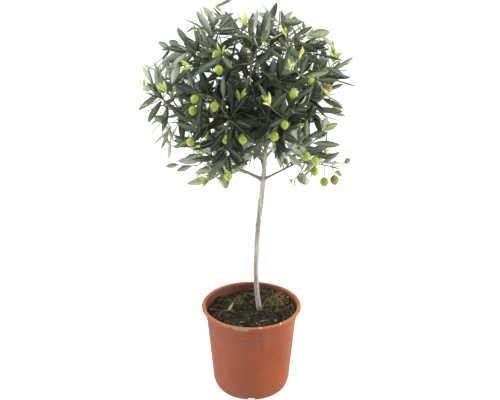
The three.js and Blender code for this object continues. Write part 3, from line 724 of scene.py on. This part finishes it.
def olive(middle, tint, draw):
    """An egg-shaped fruit on a leaning axis, with nib and stalk: r = w/2 sin(πs)^0.62 (1 + 0.06 cos πs)."""
    size = pick(draw, *FRUIT["size"])
    lean = unit(np.array([pick(draw, *FRUIT["lean"]), pick(draw, *FRUIT["lean"]), -1.0]))
    s = 0.5 - 0.47 * np.cos(np.linspace(0, math.pi, 16))
    radius = FRUIT["width"] / 2 * size * np.sin(math.pi * s) ** 0.62 * (1 + 0.06 * np.cos(math.pi * s))
    axis = lean * FRUIT["length"] * size
    points, faces = tube(middle + axis * (s - 0.5)[:, None], radius, 20)
    top = middle - axis * 0.47
    points[-2:] = top, middle + axis * 0.53
    stalk_end = middle + UP * (FRUIT["length"] / 2 + FRUIT["stalk"])
    path = smooth_path(np.array([stalk_end, (stalk_end + top) / 2 - lean * 0.6, top + lean * 0.8]), 8)
    stalk = tube(path, STALK_RADII, 8)
    return [(points, faces, tint), (*stalk, 2)]


# ---- Pot and soil --------------------------------------------------------------------------------


def arc(centre, radius, start, end, count):
    """Points [r, z] on a circle between two angles in degrees."""
    angle = np.radians(np.linspace(start, end, count))
    return np.stack([centre[0] + radius * np.cos(angle), centre[1] + radius * np.sin(angle)], -1)


def s_curve(start, end, count):
    """From one [r, z] to the other with both ends upright: r follows 3t² − 2t³."""
    share = np.linspace(0, 1, count)
    ease = share**2 * (3 - 2 * share)
    return np.stack([start[0] + (end[0] - start[0]) * ease, start[1] + (end[1] - start[1]) * share], -1)


def pot_profile():
    """[r, z] from under the floor, up the outside, over the lip and down the inside to the floor."""
    line = np.linspace
    foot, wall = POT_FOOT, POT_FOOT + POT_HEEL["flare"]
    heel = POT_HEEL["height"]
    inner = POT_COLLAR - POT_WALL
    corner = [np.array(point) for point in ((foot - 1, 0), (wall - 3.7, 3), (wall, heel))]
    return np.concatenate([
        line((20, 0.8), (foot - 8, 0.8), 4),  # underside
        line((foot - 6, 0), (foot - 3, 0), 2),  # standing ring
        curve_through(*corner, 15),
        line((wall + 0.3, heel + 4), (POT_COLLAR, POT_COLLAR_FOOT - 3), 22),
        s_curve((POT_COLLAR + 0.2, POT_COLLAR_FOOT - 1), (POT_COLLAR + 1.6, POT_COLLAR_FOOT + 5), 7),
        line((POT_COLLAR + 1.8, POT_COLLAR_FOOT + 8), (POT_COLLAR + 3.1, POT_HEIGHT - 15), 6),
        arc((POT_COLLAR + 13.2, POT_HEIGHT - 14.6), 10, 180, 123, 8),  # hollow under the lip
        arc((POT_RIM - 2.6, POT_HEIGHT - 3.4), 2.6, -50, 50, 8),  # lip
        arc((POT_RIM - 4.9, POT_HEIGHT - 3.9), 3.9, 62, 130, 7),
        line((POT_COLLAR + 2.4, POT_HEIGHT - 5), (inner + 1.4, POT_COLLAR_FOOT + 3), 10),  # inside
        line((inner, POT_COLLAR_FOOT - 1), (wall - POT_WALL, heel), 10),
        line((foot + 7.2, 13), (foot - 0.8, POT_FLOOR + 0.2), 4),
        line((foot - 2, POT_FLOOR), (20, POT_FLOOR), 4),  # floor
    ])


def make_pot(materials):
    """The profile turned about Z, a hair out of round, with its drain slots cut out."""
    profile = pot_profile()
    angle = TURN * np.arange(240) / 240
    out = 0.25 * np.cos(2 * angle + 0.6) + 0.12 * np.cos(3 * angle)
    radius = profile[:, :1] + out[None] * (profile[:, 1:] / POT_HEIGHT)
    height = np.broadcast_to(profile[:, 1:], radius.shape)
    rings = np.stack([radius * np.cos(angle), radius * np.sin(angle), height], -1)
    points, faces = closed_grid(rings, (0, 0, 0.8), (0, 0, POT_FLOOR))
    pot = mesh_object("pot_body", points, faces, materials)
    cutter = mesh_object("slot_cutter", *slot_boxes(), [])
    cut = pot.modifiers.new("slots", "BOOLEAN")
    cut.operation = "DIFFERENCE"
    cut.object = cutter
    cut.solver = "EXACT"
    shaped = bpy.data.meshes.new_from_object(pot.evaluated_get(bpy.context.evaluated_depsgraph_get()))
    pot.modifiers.clear()
    shaped.name = "pot_body"
    pot.data = shaped
    bpy.data.objects.remove(cutter)
    pot.data.set_sharp_from_angle(angle=math.radians(40))
    return pot


def slot_boxes():
    """A box for each drain slot, from inside the foot to outside it."""
    across = NOTCH["width"] / 2
    corner = np.array([(x, y, z) for x in (NOTCH["inner"], POT_RIM) for y in (-across, across)
                       for z in (-6.0, NOTCH["height"])])
    box = np.array([(0, 1, 3, 2), (4, 6, 7, 5), (0, 4, 5, 1), (2, 3, 7, 6), (0, 2, 6, 4), (1, 5, 7, 3)])
    angles = TURN * (np.arange(NOTCH["count"]) - 1) / NOTCH["count"]
    points, faces, _ = joined([(corner @ turn_about_z(angle), box, 0) for angle in angles])
    return points, faces


def soil_relief(x, y):
    """The soil's own height with clods on it: three sizes of noise, fading at the stem and at the wall."""
    clods = sum(height * lattice_noise(x / size + dx, y / size + dy, seed)
                for height, size, seed, dx, dy in CLODS)
    away = np.hypot(x - STEM_FOOT[0], y - STEM_FOOT[1])
    edge = smoothstep(POT_COLLAR - np.hypot(x, y), -4, 10)
    return soil_height(x, y) + clods * (0.25 + 0.75 * smoothstep(away, 6, 24)) * (0.4 + 0.6 * edge)


def wall_inside(height):
    """The inner radius of the pot's wall at a height."""
    return np.interp(height, *np.transpose(WALL_INSIDE))


def make_soil(materials):
    """A turned body that fills the pot, with a top of rings whose height is the soil's relief."""
    sides, foot = 260, 3.1
    angle = TURN * np.arange(sides) / sides
    way = np.stack([np.cos(angle), np.sin(angle)], -1)
    heights = np.array([foot, 13, 26, 80, 150])[:, None, None]
    radius = wall_inside(heights) - 0.8
    wall = np.concatenate([way * radius, np.broadcast_to(heights, (len(heights), sides, 1))], -1)
    reach = wall_inside(soil_height(*(way * 94).T)) - 0.6
    flat = way * reach[:, None] * np.linspace(1, 0.012, 110)[:, None, None]
    top = np.concatenate([flat, soil_relief(flat[..., 0], flat[..., 1])[..., None]], -1)
    middle = soil_relief(np.zeros(1), np.zeros(1))[0]
    points, faces = closed_grid(np.concatenate([wall, top]), (0, 0, foot), (0, 0, middle))
    return mesh_object("soil_surface", points, faces, materials)


def scatter(count, seed, inner=0.0, outer=88.0):
    """Places spread over a ring by area."""
    generator = np.random.default_rng(seed)
    radius = np.sqrt(generator.uniform(inner**2, outer**2, count))
    angle = generator.uniform(0, TURN, count)
    return radius * np.cos(angle), radius * np.sin(angle), generator


def crumb(centre, size, generator):
    """A rough pebble: a ball of three rings of seven points, stretched and pushed in and out."""
    angle = TURN * np.arange(7) / 7
    tilt = np.radians([-50, -8, 40])[:, None]
    way = np.stack([np.cos(tilt) * np.cos(angle), np.cos(tilt) * np.sin(angle), np.sin(tilt) + 0 * angle], -1)
    way = way * generator.uniform(0.75, 1.2, (3, 7, 1)) * size * generator.uniform(0.7, 1.25, 3)
    rings = way @ turn_about_z(generator.uniform(0, TURN)) + centre
    return closed_grid(rings, centre + [0, 0, -size * 0.8], centre + [0, 0, size * 0.8])


def make_crumbs(materials):
    """Clods, bark chips and a few pale stones, half sunk in the soil; none is under the stem."""
    x, y, generator = scatter(CRUMBS, 11)
    parts = []
    for px, py in zip(x, y):
        if math.hypot(px - STEM_FOOT[0], py - STEM_FOOT[1]) < 9:
            heading = generator.uniform(0, TURN)
            px = STEM_FOOT[0] + 9.5 * math.cos(heading)
            py = STEM_FOOT[1] + 9.5 * math.sin(heading)
        size = 1.0 + 2.6 * generator.random() ** 2
        kind = 0 if generator.random() < 0.72 else 1 if generator.random() < 0.92 else 2
        z = soil_relief(px, py) + 0.35 * size
        parts.append((*crumb(np.array([px, py, z]), size * (0.6 if kind == 2 else 1), generator), kind))
    for px, py, size in STONES:
        z = soil_relief(px, py) + 1.2
        parts.append((*crumb(np.array([px, py, z]), size, generator), 2))
    points, faces, slots = joined(parts)
    return mesh_object("soil_crumbs", points, faces, materials, slots)


def make_fibres(materials):
    """Fine roots and dry stalks: thin tubes that arch over the soil, most of them in a tangle and a clump."""
    edge = FIBRES["edge"]
    x, y, generator = scatter(FIBRES["count"], 23, 14, edge)
    t = np.linspace(0, 1, 8)
    parts = []
    for i, (px, py) in enumerate(zip(x, y)):
        moved = i % 4
        if moved:
            px, py = (middle + spread * generator.normal() for middle, spread in FIBRES["tangle"])
            if moved == 2 and generator.random() < FIBRES["clumped"]:
                px, py = (middle + spread * generator.normal() for middle, spread in FIBRES["clump"])
        if math.hypot(px, py) > edge:
            continue
        heading = generator.uniform(0, TURN)
        reach = generator.uniform(7, 24)
        curl = generator.uniform(-1.6, 1.6)
        fx = px + reach * t * np.cos(heading + curl * t)
        fy = py + reach * t * np.sin(heading + curl * t)
        pull = np.minimum(1, (edge + 1) / np.hypot(fx, fy))
        fx, fy = fx * pull, fy * pull
        z = soil_relief(fx, fy) + 0.4 + generator.uniform(0.8, 5.0) * np.sin(math.pi * t)
        radius = generator.uniform(0.22, 0.5) * (1 - 0.4 * t)
        parts.append((*tube(np.stack([fx, fy, z], -1), radius, 5), 0 if generator.random() < 0.7 else 1))
    points, faces, slots = joined(parts)
    return mesh_object("soil_fibres", points, faces, materials, slots)


def make_litter(materials):
    """Fallen leaves, each at rest on the highest soil under it."""
    draw = seeded(71)
    leaves = []
    for (x, y), heading, length, width, tone in LITTER:
        way = np.array([math.cos(heading), math.sin(heading), 0.0])
        under = np.linspace(0, length, 9)
        z = float(soil_relief(x + way[0] * under, y + way[1] * under).max()) + 0.9
        leaves.append(dict(root=np.array([x, y, z]), way=way, face=UP, length=length, width=width,
                           bend=0.04, fold=-0.2, twist=0.5 * draw(), tone=tone))
    points, faces, _ = blades(leaves)
    slots = np.repeat([tone for *_, tone in LITTER], len(faces) // len(LITTER))
    return mesh_object("soil_litter", points, faces, materials, slots)


# ---- Bark ----------------------------------------------------------------------------------------


def bark_relief(path, sides, depth, seed):
    """Shallow lengthwise furrows: noise in angle stretched along the limb, and finer pits."""
    run = run_along(path)[:, None]
    around = 32 * np.abs(2 * (np.arange(sides) / sides)[None] - 1)
    furrow = lattice_noise(around / 2.4 + 7, run / 46, seed)
    ripple = lattice_noise(around / 1.2, run / 11, seed + 1)
    pits = lattice_noise(around, run / 2.5, seed + 2)
    return depth * (0.6 * furrow + 0.35 * ripple + 0.22 * pits)


def make_trunk(materials):
    """The trunk's tube with furrows, a one-sided knot at each old cut, and roots that start at its foot."""
    heights = np.linspace(SOIL_LEVEL - 5, TRUNK_TOP - 0.4, 420)
    path = trunk_point(heights)
    sides = 44
    angle = (TURN * np.arange(sides) / sides)[None]
    relief = bark_relief(path, sides, 0.42, 31)
    for knot, side in zip(KNOTS, KNOT_FACING):
        swelling, scar = (np.exp(-(((heights - knot) / reach) ** 2))[:, None] for reach in (3.6, 1.4))
        facing = np.maximum(0, np.cos(angle - side)) ** 3
        relief = relief + swelling * (1.5 * facing - 0.3) - 0.7 * facing**4 * scar
    flare = np.exp(-np.maximum(heights - SOIL_LEVEL, 0) / 7)[:, None]
    relief = relief + flare * (0.9 * np.cos(3 * angle + 0.5) + 0.4 * np.cos(5 * angle))
    radius = trunk_radius(np.maximum(heights, SOIL_LEVEL))
    return mesh_object("trunk_bark", *tube(path, radius, sides, relief), materials)


def make_bough(mass, materials):
    """A bough's tube, widened to a collar where it leaves the trunk."""
    sides = 24
    path = bough_path(mass, 70)
    t = np.linspace(0, 1, len(path))
    run = t * run_along(path)[-1]
    radius = mass["radius"] * (1 + (BOUGH_TAPER - 1) * t) + 0.9 * np.exp(-(((run - TRUNK_RADIUS) / 4) ** 2))
    relief = bark_relief(path, sides, 0.25, 50 + mass["seed"])
    relief[-3:] = 0
    return mesh_object(f"bark_{mass['name']}", *tube(path, radius, sides, relief), materials)


# ---- Materials -----------------------------------------------------------------------------------


def linear(red, green, blue):
    """A colour given as 0 to 255 on screen, as the light that it stands for."""
    share = np.array([red, green, blue]) / 255
    light = np.where(share <= 0.04045, share / 12.92, ((share + 0.055) / 1.055) ** 2.4)
    return (*light.tolist(), 1.0)


class Finish:
    """A material and short ways to add the nodes that this tree's finishes use."""

    def __init__(self, name, roughness, specular=0.5):
        self.material = bpy.data.materials.new(name)
        self.material.use_nodes = True
        self.nodes = self.material.node_tree.nodes
        self.links = self.material.node_tree.links
        self.shader = self.nodes["Principled BSDF"]
        self.give("Roughness", roughness)
        self.give("Specular IOR Level", specular)
        self.place = self.nodes.new("ShaderNodeTexCoord").outputs["Object"]

    def put(self, socket, value):
        if isinstance(value, bpy.types.NodeSocket):
            self.links.new(value, socket)
        else:
            socket.default_value = value

    def give(self, name, value):
        self.put(self.shader.inputs[name], value)

    def stretched(self, scale):
        """Object coordinates multiplied along each axis."""
        node = self.nodes.new("ShaderNodeMapping")
        node.inputs["Scale"].default_value = scale
        self.links.new(self.place, node.inputs["Vector"])
        return node.outputs["Vector"]

    def noise(self, scale, detail=4.0, stretch=None, roughness=0.55):
        node = self.nodes.new("ShaderNodeTexNoise")
        self.links.new(self.stretched(stretch) if stretch else self.place, node.inputs["Vector"])
        for name, value in (("Scale", scale), ("Detail", detail), ("Roughness", roughness)):
            node.inputs[name].default_value = value
        return node.outputs["Fac"]

    def between(self, value, low, high, start=0.0, end=1.0):
        """A value mapped from low..high to start..end, smooth and held at both ends."""
        node = self.nodes.new("ShaderNodeMapRange")
        node.interpolation_type = "SMOOTHSTEP"
        names = ("Value", "From Min", "From Max", "To Min", "To Max")
        for name, number in zip(names, (value, low, high, start, end)):
            self.put(node.inputs[name], number)
        return node.outputs["Result"]

    def reckon(self, kind, first, *others):
        """Values put together, one after another, by one kind of sum."""
        for other in others:
            node = self.nodes.new("ShaderNodeMath")
            node.operation = kind
            self.put(node.inputs[0], first)
            self.put(node.inputs[1], other)
            first = node.outputs["Value"]
        return first

    def total(self, *values):
        return self.reckon("ADD", *values)

    def product(self, *values):
        return self.reckon("MULTIPLY", *values)

    def axis(self, name):
        if not hasattr(self, "split"):
            self.split = self.nodes.new("ShaderNodeSeparateXYZ")
            self.links.new(self.place, self.split.inputs[0])
        return self.split.outputs[name]

    def away(self):
        """The distance from the pot's axis."""
        squares = [self.product(self.axis(name), self.axis(name)) for name in "XY"]
        return self.reckon("SQRT", self.total(*squares), 0.0)

    def blend(self, share, one, other):
        """From one colour to the other as the share grows; a colour is a result or 0 to 255 on screen."""
        node = self.nodes.new("ShaderNodeMix")
        node.data_type = "RGBA"
        self.put(node.inputs["Factor"], share)
        for name, colour in (("A", one), ("B", other)):
            made = isinstance(colour, bpy.types.NodeSocket)
            self.put(node.inputs[name], colour if made else linear(*colour))
        return node.outputs["Result"]

    def colour(self, base, *layers):
        """The base colour, with others laid over it, each by its share."""
        for share, colour in layers:
            base = self.blend(share, base, colour)
        self.give("Base Color", base)

    def bump(self, height, depth):
        """Relief of a depth in metres."""
        node = self.nodes.new("ShaderNodeBump")
        node.inputs["Strength"].default_value = 1.0
        node.inputs["Distance"].default_value = depth
        self.links.new(height, node.inputs["Height"])
        self.give("Normal", node.outputs["Normal"])


def two_tone(name, one, other, scale, roughness, specular=0.5, depth=0.0):
    """Two close colours in a cloudy pattern, with relief where it has a depth."""
    finish = Finish(name, roughness, specular)
    finish.colour(finish.blend(finish.between(finish.noise(scale), 0.35, 0.65), one, other))
    if depth:
        finish.bump(finish.noise(scale * 3, 3), depth)
    return finish.material


def pot_plastic():
    """Terracotta-coloured plastic with faint flow streaks, scuffs, a dirty foot and a stained rim; painted
    light makes the left side lighter, the right edge paler and the lip's top pale, and a painted shadow falls
    under the collar.
    """
    finish = Finish("pot_plastic", 0.6, 0.2)
    x, y, z = (finish.axis(name) for name in "XYZ")
    cloud = finish.noise(14, 3)
    streaks = finish.noise(60, 4, stretch=(1, 1, 0.06))
    scuffs = finish.noise(26, 5, stretch=(1, 1, 0.5))
    dirt = finish.product(finish.between(z, 0.03, 0.0, 0, 0.5), finish.between(cloud, 0.4, 0.6))
    taper = finish.reckon("SUBTRACT", finish.away(), finish.product(z, 0.1125))
    finish.colour(
        finish.blend(finish.between(cloud, 0.3, 0.7), (138, 68, 40), (154, 78, 46)),
        (finish.between(x, 0.05, -0.03, 0, 0.45), (142, 86, 68)),  # greyer, lighter wash over the left side: painted light from the left
        (finish.between(x, 0.06, 0.092, 0, 0.4), (168, 116, 80)),  # paler tan band at the right edge: painted sheen
        (finish.between(streaks, 0.5, 0.75, 0, 0.3), (178, 98, 62)),
        (finish.between(z, 0.1915, 0.1945, 0, 0.6), (212, 146, 108)),  # pale band along the top of the lip: painted highlight
        (finish.between(scuffs, 0.6, 0.78, 0, 0.22), (184, 108, 74)),
        (dirt, (100, 62, 44)),
        (finish.between(taper, 0.0762, 0.0752, 0, 0.4), (98, 70, 74)),  # inside the pot; the same mask also darkens a band of the outer wall under the collar: painted shadow
        (lime_stain(finish, x, y, z), (164, 138, 98)),
        *((rub(finish, x, y, z, *place), (226, 208, 188)) for place in RUBS),
    )
    finish.give("Roughness", finish.between(finish.noise(30, 5), 0.3, 0.7, 0.54, 0.68))
    finish.bump(finish.noise(900, 2), 0.00004)
    return finish.material


def lime_stain(finish, x, y, z):
    """A dried stain on the front of the rim: a thin line, then a ragged patch that ends sharply."""
    ragged = finish.product(finish.reckon("SUBTRACT", finish.noise(90, 5), 0.5), 0.018)
    along = finish.total(x, ragged)
    lower = finish.between(along, -0.044, -0.030, 0.1928, 0.1840)
    depth = finish.total(finish.reckon("SUBTRACT", z, lower), ragged)
    return finish.product(
        finish.between(along, -0.064, -0.054),
        finish.between(along, -0.004, -0.007),
        finish.between(depth, -0.0006, 0.001),
        finish.between(y, -0.05, -0.07),
        finish.between(finish.noise(140, 5), 0.32, 0.5, 0.4, 1.0),
        finish.between(finish.noise(520, 3), 0.58, 0.64, 1.0, 0.25),
    )


def rub(finish, x, y, z, middle, half):
    """A small white rub on the front of the lip, round one place along it."""
    return finish.product(
        finish.between(x, middle - half, middle - 0.4 * half),
        finish.between(x, middle + half, middle + 0.4 * half),
        finish.between(z, 0.1922, 0.1932),
        finish.between(y, -0.05, -0.07),
        finish.between(finish.noise(260, 3), 0.4, 0.55),
    )


def bark_finish(name, light, dark, depth, earth_and_shade_at_foot=False):
    """Smooth young bark: pale grey with long streaks, darker specks, some green, and at the foot earth with
    painted shade where the stem meets the soil.
    """
    finish = Finish(name, 0.75, 0.3)
    streaks = finish.noise(170, 5, stretch=(1, 1, 0.07))
    green = finish.between(finish.noise(35, 3), 0.52, 0.72, 0, 0.35)
    specks = finish.between(finish.noise(420, 3, stretch=(1, 1, 0.45)), 0.63, 0.7, 0, 0.65)
    layers = [(green, (139, 137, 112)), (specks, (98, 91, 79))]
    if earth_and_shade_at_foot:
        # Darker at the foot: earth on the bark, and painted shade where the stem meets the soil.
        height = finish.total(finish.axis("Z"), finish.product(finish.noise(140, 4), -0.03))
        layers.append((finish.between(height, 0.174, 0.160, 0, 0.9), (50, 44, 36)))
    finish.colour(finish.blend(finish.between(streaks, 0.34, 0.62), dark, light), *layers)
    finish.bump(finish.total(streaks, finish.product(specks, 0.6)), depth)
    return finish.material


def soil_finish():
    """Moist compost: near black with brown, peaty patches and coarse grain."""
    finish = Finish("soil_compost", 0.92, 0.35)
    patches = finish.noise(38, 6, roughness=0.65)
    grain = finish.noise(420, 5, roughness=0.7)
    finish.colour(finish.blend(finish.between(patches, 0.42, 0.66), (31, 30, 28), (64, 60, 50)),
                  (finish.between(grain, 0.55, 0.72, 0, 0.8), (112, 103, 82)))
    finish.bump(finish.total(grain, patches), 0.0014)
    return finish.material


def leaf_finishes():
    """Tones of the upper side, each from a cooler to a warmer one, then rib, underside, young leaves, and a
    darker rib and underside that are painted shade.
    """
    cooler, warmer = (-4, -1, 5), (12, 12, -5)
    tops = [two_tone(f"leaf_top_{i + 1}", np.add(tone, cooler), np.add(tone, warmer), 16, 0.4, sheen)
            for i, (tone, sheen) in enumerate(LEAF_TONES)]
    return [
        *tops,
        two_tone("leaf_rib", (112, 124, 90), (100, 112, 80), 60, 0.5),
        two_tone("leaf_under", (156, 164, 146), (176, 182, 166), 60, 0.65, 0.3),
        two_tone("leaf_young", (188, 202, 100), (208, 220, 132), 50, 0.5),
        two_tone("leaf_young_under", (198, 208, 140), (210, 218, 160), 50, 0.6, 0.3),
        # Darker copies of rib and underside: painted shade for leaves deep in the crown.
        two_tone("leaf_rib_shaded", (82, 94, 66), (70, 82, 56), 60, 0.5, 0.3),
        two_tone("leaf_under_shaded", (88, 98, 82), (106, 115, 98), 60, 0.65, 0.2),
    ]


def olive_finish(name, one, other):
    """Green fruit with pale pores and a soft wax bloom."""
    finish = Finish(name, 0.34, 0.5)
    pores = finish.noise(900, 2)
    finish.colour(finish.blend(finish.between(finish.noise(70, 3), 0.35, 0.65), one, other),
                  (finish.between(pores, 0.64, 0.7, 0, 0.5), (210, 220, 140)))
    finish.bump(pores, 0.00006)
    return finish.material


# ---- The tree ------------------------------------------------------------------------------------


def place_masses():
    """Each mass gets its seed, its middle, and the end of the limb that bears it."""
    for index, mass in enumerate(MASSES):
        mass.update(seed=101 + 17 * index, middle=np.array(mass["centre"], float))
    for mass in MASSES:
        if mass["radius"] is None:
            mass.update(tip=trunk_point(TRUNK_TOP), heading=UP, tip_radius=TRUNK_TIP)
        else:
            path = bough_path(mass, 5)
            mass.update(tip=path[-1], heading=unit(path[-1] - path[-2]),
                        tip_radius=BOUGH_TAPER * mass["radius"])


def limb_beads():
    """Balls, as x, y, z and radius, along the trunk and the boughs: twigs and leaves keep off them."""
    beads = [[*trunk_point(height), trunk_radius(height)]
             for height in np.arange(SOIL_LEVEL, TRUNK_TOP + 1, 5)]
    for mass in MASSES:
        if mass["radius"] is not None:
            path = bough_path(mass, 5)
            for share in np.arange(0, 1.0001, 0.04):
                radius = mass["radius"] + (mass["tip_radius"] - mass["radius"]) * share
                beads.append([*path_at(path, share)[0], radius])
    return np.array(beads)


def make_ground():
    """The soil and what lies on it."""
    hand_over(make_soil([soil_finish()]), "soil", "soil")
    hand_over(make_crumbs([
        two_tone("soil_clod", (46, 40, 33), (66, 55, 42), 300, 0.95, 0.3, 0.0006),
        two_tone("bark_chip", (92, 66, 46), (66, 48, 36), 300, 0.9, 0.3, 0.0004),
        two_tone("pale_grit", (196, 192, 178), (168, 160, 142), 200, 0.7, 0.4, 0.0002),
    ]), "soil")
    hand_over(make_fibres([
        two_tone("dry_fibre", (176, 156, 112), (128, 108, 72), 200, 0.9),
        two_tone("moss", (150, 150, 86), (108, 110, 58), 200, 0.9),
    ]), "soil")
    hand_over(make_litter([
        two_tone("litter_green", (96, 118, 72), (122, 140, 92), 120, 0.7),
        two_tone("litter_brown", (132, 98, 66), (158, 124, 88), 120, 0.85),
        two_tone("litter_pale", (158, 164, 118), (184, 184, 140), 120, 0.75),
    ]), "soil")


def make_foliage(mass, tips, twig_skins, leaf_skins):
    """The twigs and the leaves of one mass, as a piece each; returns the parts of its olives."""
    own_tips, own_olives, own_spring_tips = (
        points[depth_in_cell(points, mass) > 0] for points in (tips, OLIVES, SPRING_TIPS))
    stem, twigs, fruit = grow_wood(mass, own_tips, own_olives)
    twigs += grow_spring_shoots(mass, twigs, own_spring_tips) + grow_twiglets(mass, twigs)
    stem_line = np.concatenate([[stem[0] - mass["heading"] * 1.5], evenly(stem, 24)])
    stem_end = mass["tip_radius"] * 0.3 + TWIG_KINDS["shoot"]["radii"][0] * 0.7
    wood = [(*tube(stem_line, np.linspace(mass["tip_radius"], stem_end, 25), 12), 0)]
    draw = seeded(mass["seed"] + 3)
    leaves = []
    for twig in twigs:
        count, sides = twig["grid"]
        radii = np.linspace(*twig["radii"], count)
        wood.append((*tube(smooth_path(twig["path"], count), radii, sides), twig["finish"]))
        leaves += [leaf for leaf in leaves_along(twig, draw)
                   if not is_bare(leaf, draw) and leaf_fits(leaf, mass)]
    for kind, slot, parts, skins in (("twigs", "bark", joined(wood), twig_skins),
                                     ("leaves", "foliage", blades(leaves), leaf_skins)):
        points, faces, slots = parts
        piece = mesh_object(f"{kind}_{mass['name']}", points, faces, skins, slots)
        hand_over(piece, slot, f"foliage_{mass['name']}")
    return [part for middle in fruit for part in olive(middle, 1 if tuple(middle) in TURNING else 0, draw)]


place_masses()
BEADS = limb_beads()
twig_finishes = [
    bark_finish("bark_stems", (150, 146, 128), (102, 98, 80), 0.0003),
    two_tone("twig_skin", (124, 122, 84), (104, 100, 70), 120, 0.6, depth=0.00012),
    two_tone("twig_green", (116, 122, 84), (98, 104, 70), 120, 0.55),
]
leaf_skins = leaf_finishes()

hand_over(make_pot([pot_plastic()]), "pot", "pot")
make_ground()
bark = bark_finish("bark_trunk", (208, 205, 196), (150, 145, 132), 0.0005, earth_and_shade_at_foot=True)
hand_over(make_trunk([bark]), "bark", "trunk")
bark_of_boughs = bark_finish("bark_boughs", (170, 166, 152), (118, 113, 98), 0.0004)
fruit_parts = []
bearing_nodes = []
for mass in MASSES:
    if mass["radius"] is not None:
        hand_over(make_bough(mass, [bark_of_boughs]), "bark", f"bough_{mass['name']}")
    fruit = make_foliage(mass, shoot_tips(), twig_finishes, leaf_skins)
    fruit_parts += fruit
    if fruit:
        bearing_nodes.append(f"foliage_{mass['name']}")

points, faces, slots = joined(fruit_parts)
olive_skins = [
    olive_finish("olive_green", (140, 158, 46), (168, 184, 70)),
    olive_finish("olive_turning", (150, 154, 62), (128, 108, 60)),
    twig_finishes[2],
]
hand_over(mesh_object("olives", points, faces, olive_skins, slots), "foliage", *bearing_nodes)

# ---- Floor, light and camera ---------------------------------------------------------------------

# Each panel of light: name, place, what it faces, size, power and tint.
PANELS = (
    ("left_panel", (-2.4, -0.35, 1.3), (0, 0, 0.45), (1.0, 2.2), 45, (1, 0.98, 0.94)),
    ("right_panel", (2.4, -0.3, 1.2), (0, 0, 0.4), (1.0, 2.2), 58, (1, 0.95, 0.86)),
    ("overhead", (0, -0.7, 3.0), (0, 0, 0.5), (1.6, 1.6), 40, (1, 1, 1)),
)
WORLD_LIGHT = {"From Min": -0.9, "From Max": 0.1, "To Min": 0.13, "To Max": 0.5}
CAMERA = dict(lens=96.8, sensor=36.0, place=(-0.0028, -2.5, 1.588), tilt=65.30)


def add_to_scene(name, data):
    """A new object of the scene."""
    made = bpy.data.objects.new(name, data)
    bpy.context.scene.collection.objects.link(made)
    return made


def make_floor():
    """A pale floor that a little light also comes from, but not under the pot's foot, where it is dark:
    painted shade seen through the drain slots.
    """
    size = 90.0
    mesh = bpy.data.meshes.new("floor")
    corners = [(-size, -size, 0), (size, -size, 0), (size, size, 0), (-size, size, 0)]
    mesh.from_pydata(corners, [], [(0, 1, 2, 3)])
    finish = Finish("floor_pale", 0.9, 0.1)
    open_floor = finish.between(finish.away(), 0.057, 0.0595)
    # Dark under the pot's foot: painted shade.
    finish.colour(finish.blend(open_floor, (70, 66, 62), (188, 188, 188)))
    finish.give("Emission Color", (1, 1, 1, 1))
    finish.give("Emission Strength", finish.product(open_floor, 0.85))
    mesh.materials.append(finish.material)
    add_to_scene("floor", mesh)


def add_light(name, place, target, size, power, tint):
    """A soft rectangular panel that faces a place."""
    light = bpy.data.lights.new(name, "AREA")
    light.shape = "RECTANGLE"
    light.size, light.size_y = size
    light.energy = power
    light.color = tint
    lamp = add_to_scene(name, light)
    lamp.location = place
    lamp.rotation_euler = Vector(np.subtract(target, place)).to_track_quat("-Z", "Y").to_euler()


def set_world():
    """Soft light from all round, dimmer from the front."""
    world = bpy.data.worlds.new("studio")
    world.use_nodes = True
    nodes, links = world.node_tree.nodes, world.node_tree.links
    place = nodes.new("ShaderNodeTexCoord")
    split = nodes.new("ShaderNodeSeparateXYZ")
    span = nodes.new("ShaderNodeMapRange")
    for name, value in WORLD_LIGHT.items():
        span.inputs[name].default_value = value
    links.new(place.outputs["Generated"], split.inputs[0])
    links.new(split.outputs["Y"], span.inputs["Value"])
    background = nodes["Background"]
    background.inputs["Color"].default_value = (1, 1, 1, 1)
    links.new(span.outputs["Result"], background.inputs["Strength"])
    bpy.context.scene.world = world


def set_camera():
    """In front of the tree and above it, looking down."""
    lens = bpy.data.cameras.new("camera")
    lens.lens = CAMERA["lens"]
    lens.sensor_width = CAMERA["sensor"]
    camera = add_to_scene("camera", lens)
    camera.location = CAMERA["place"]
    camera.rotation_euler = (math.radians(CAMERA["tilt"]), 0, 0)
    bpy.context.scene.camera = camera


make_floor()
set_world()
for panel in PANELS:
    add_light(*panel)
set_camera()
bpy.context.scene.view_settings.view_transform = "Standard"
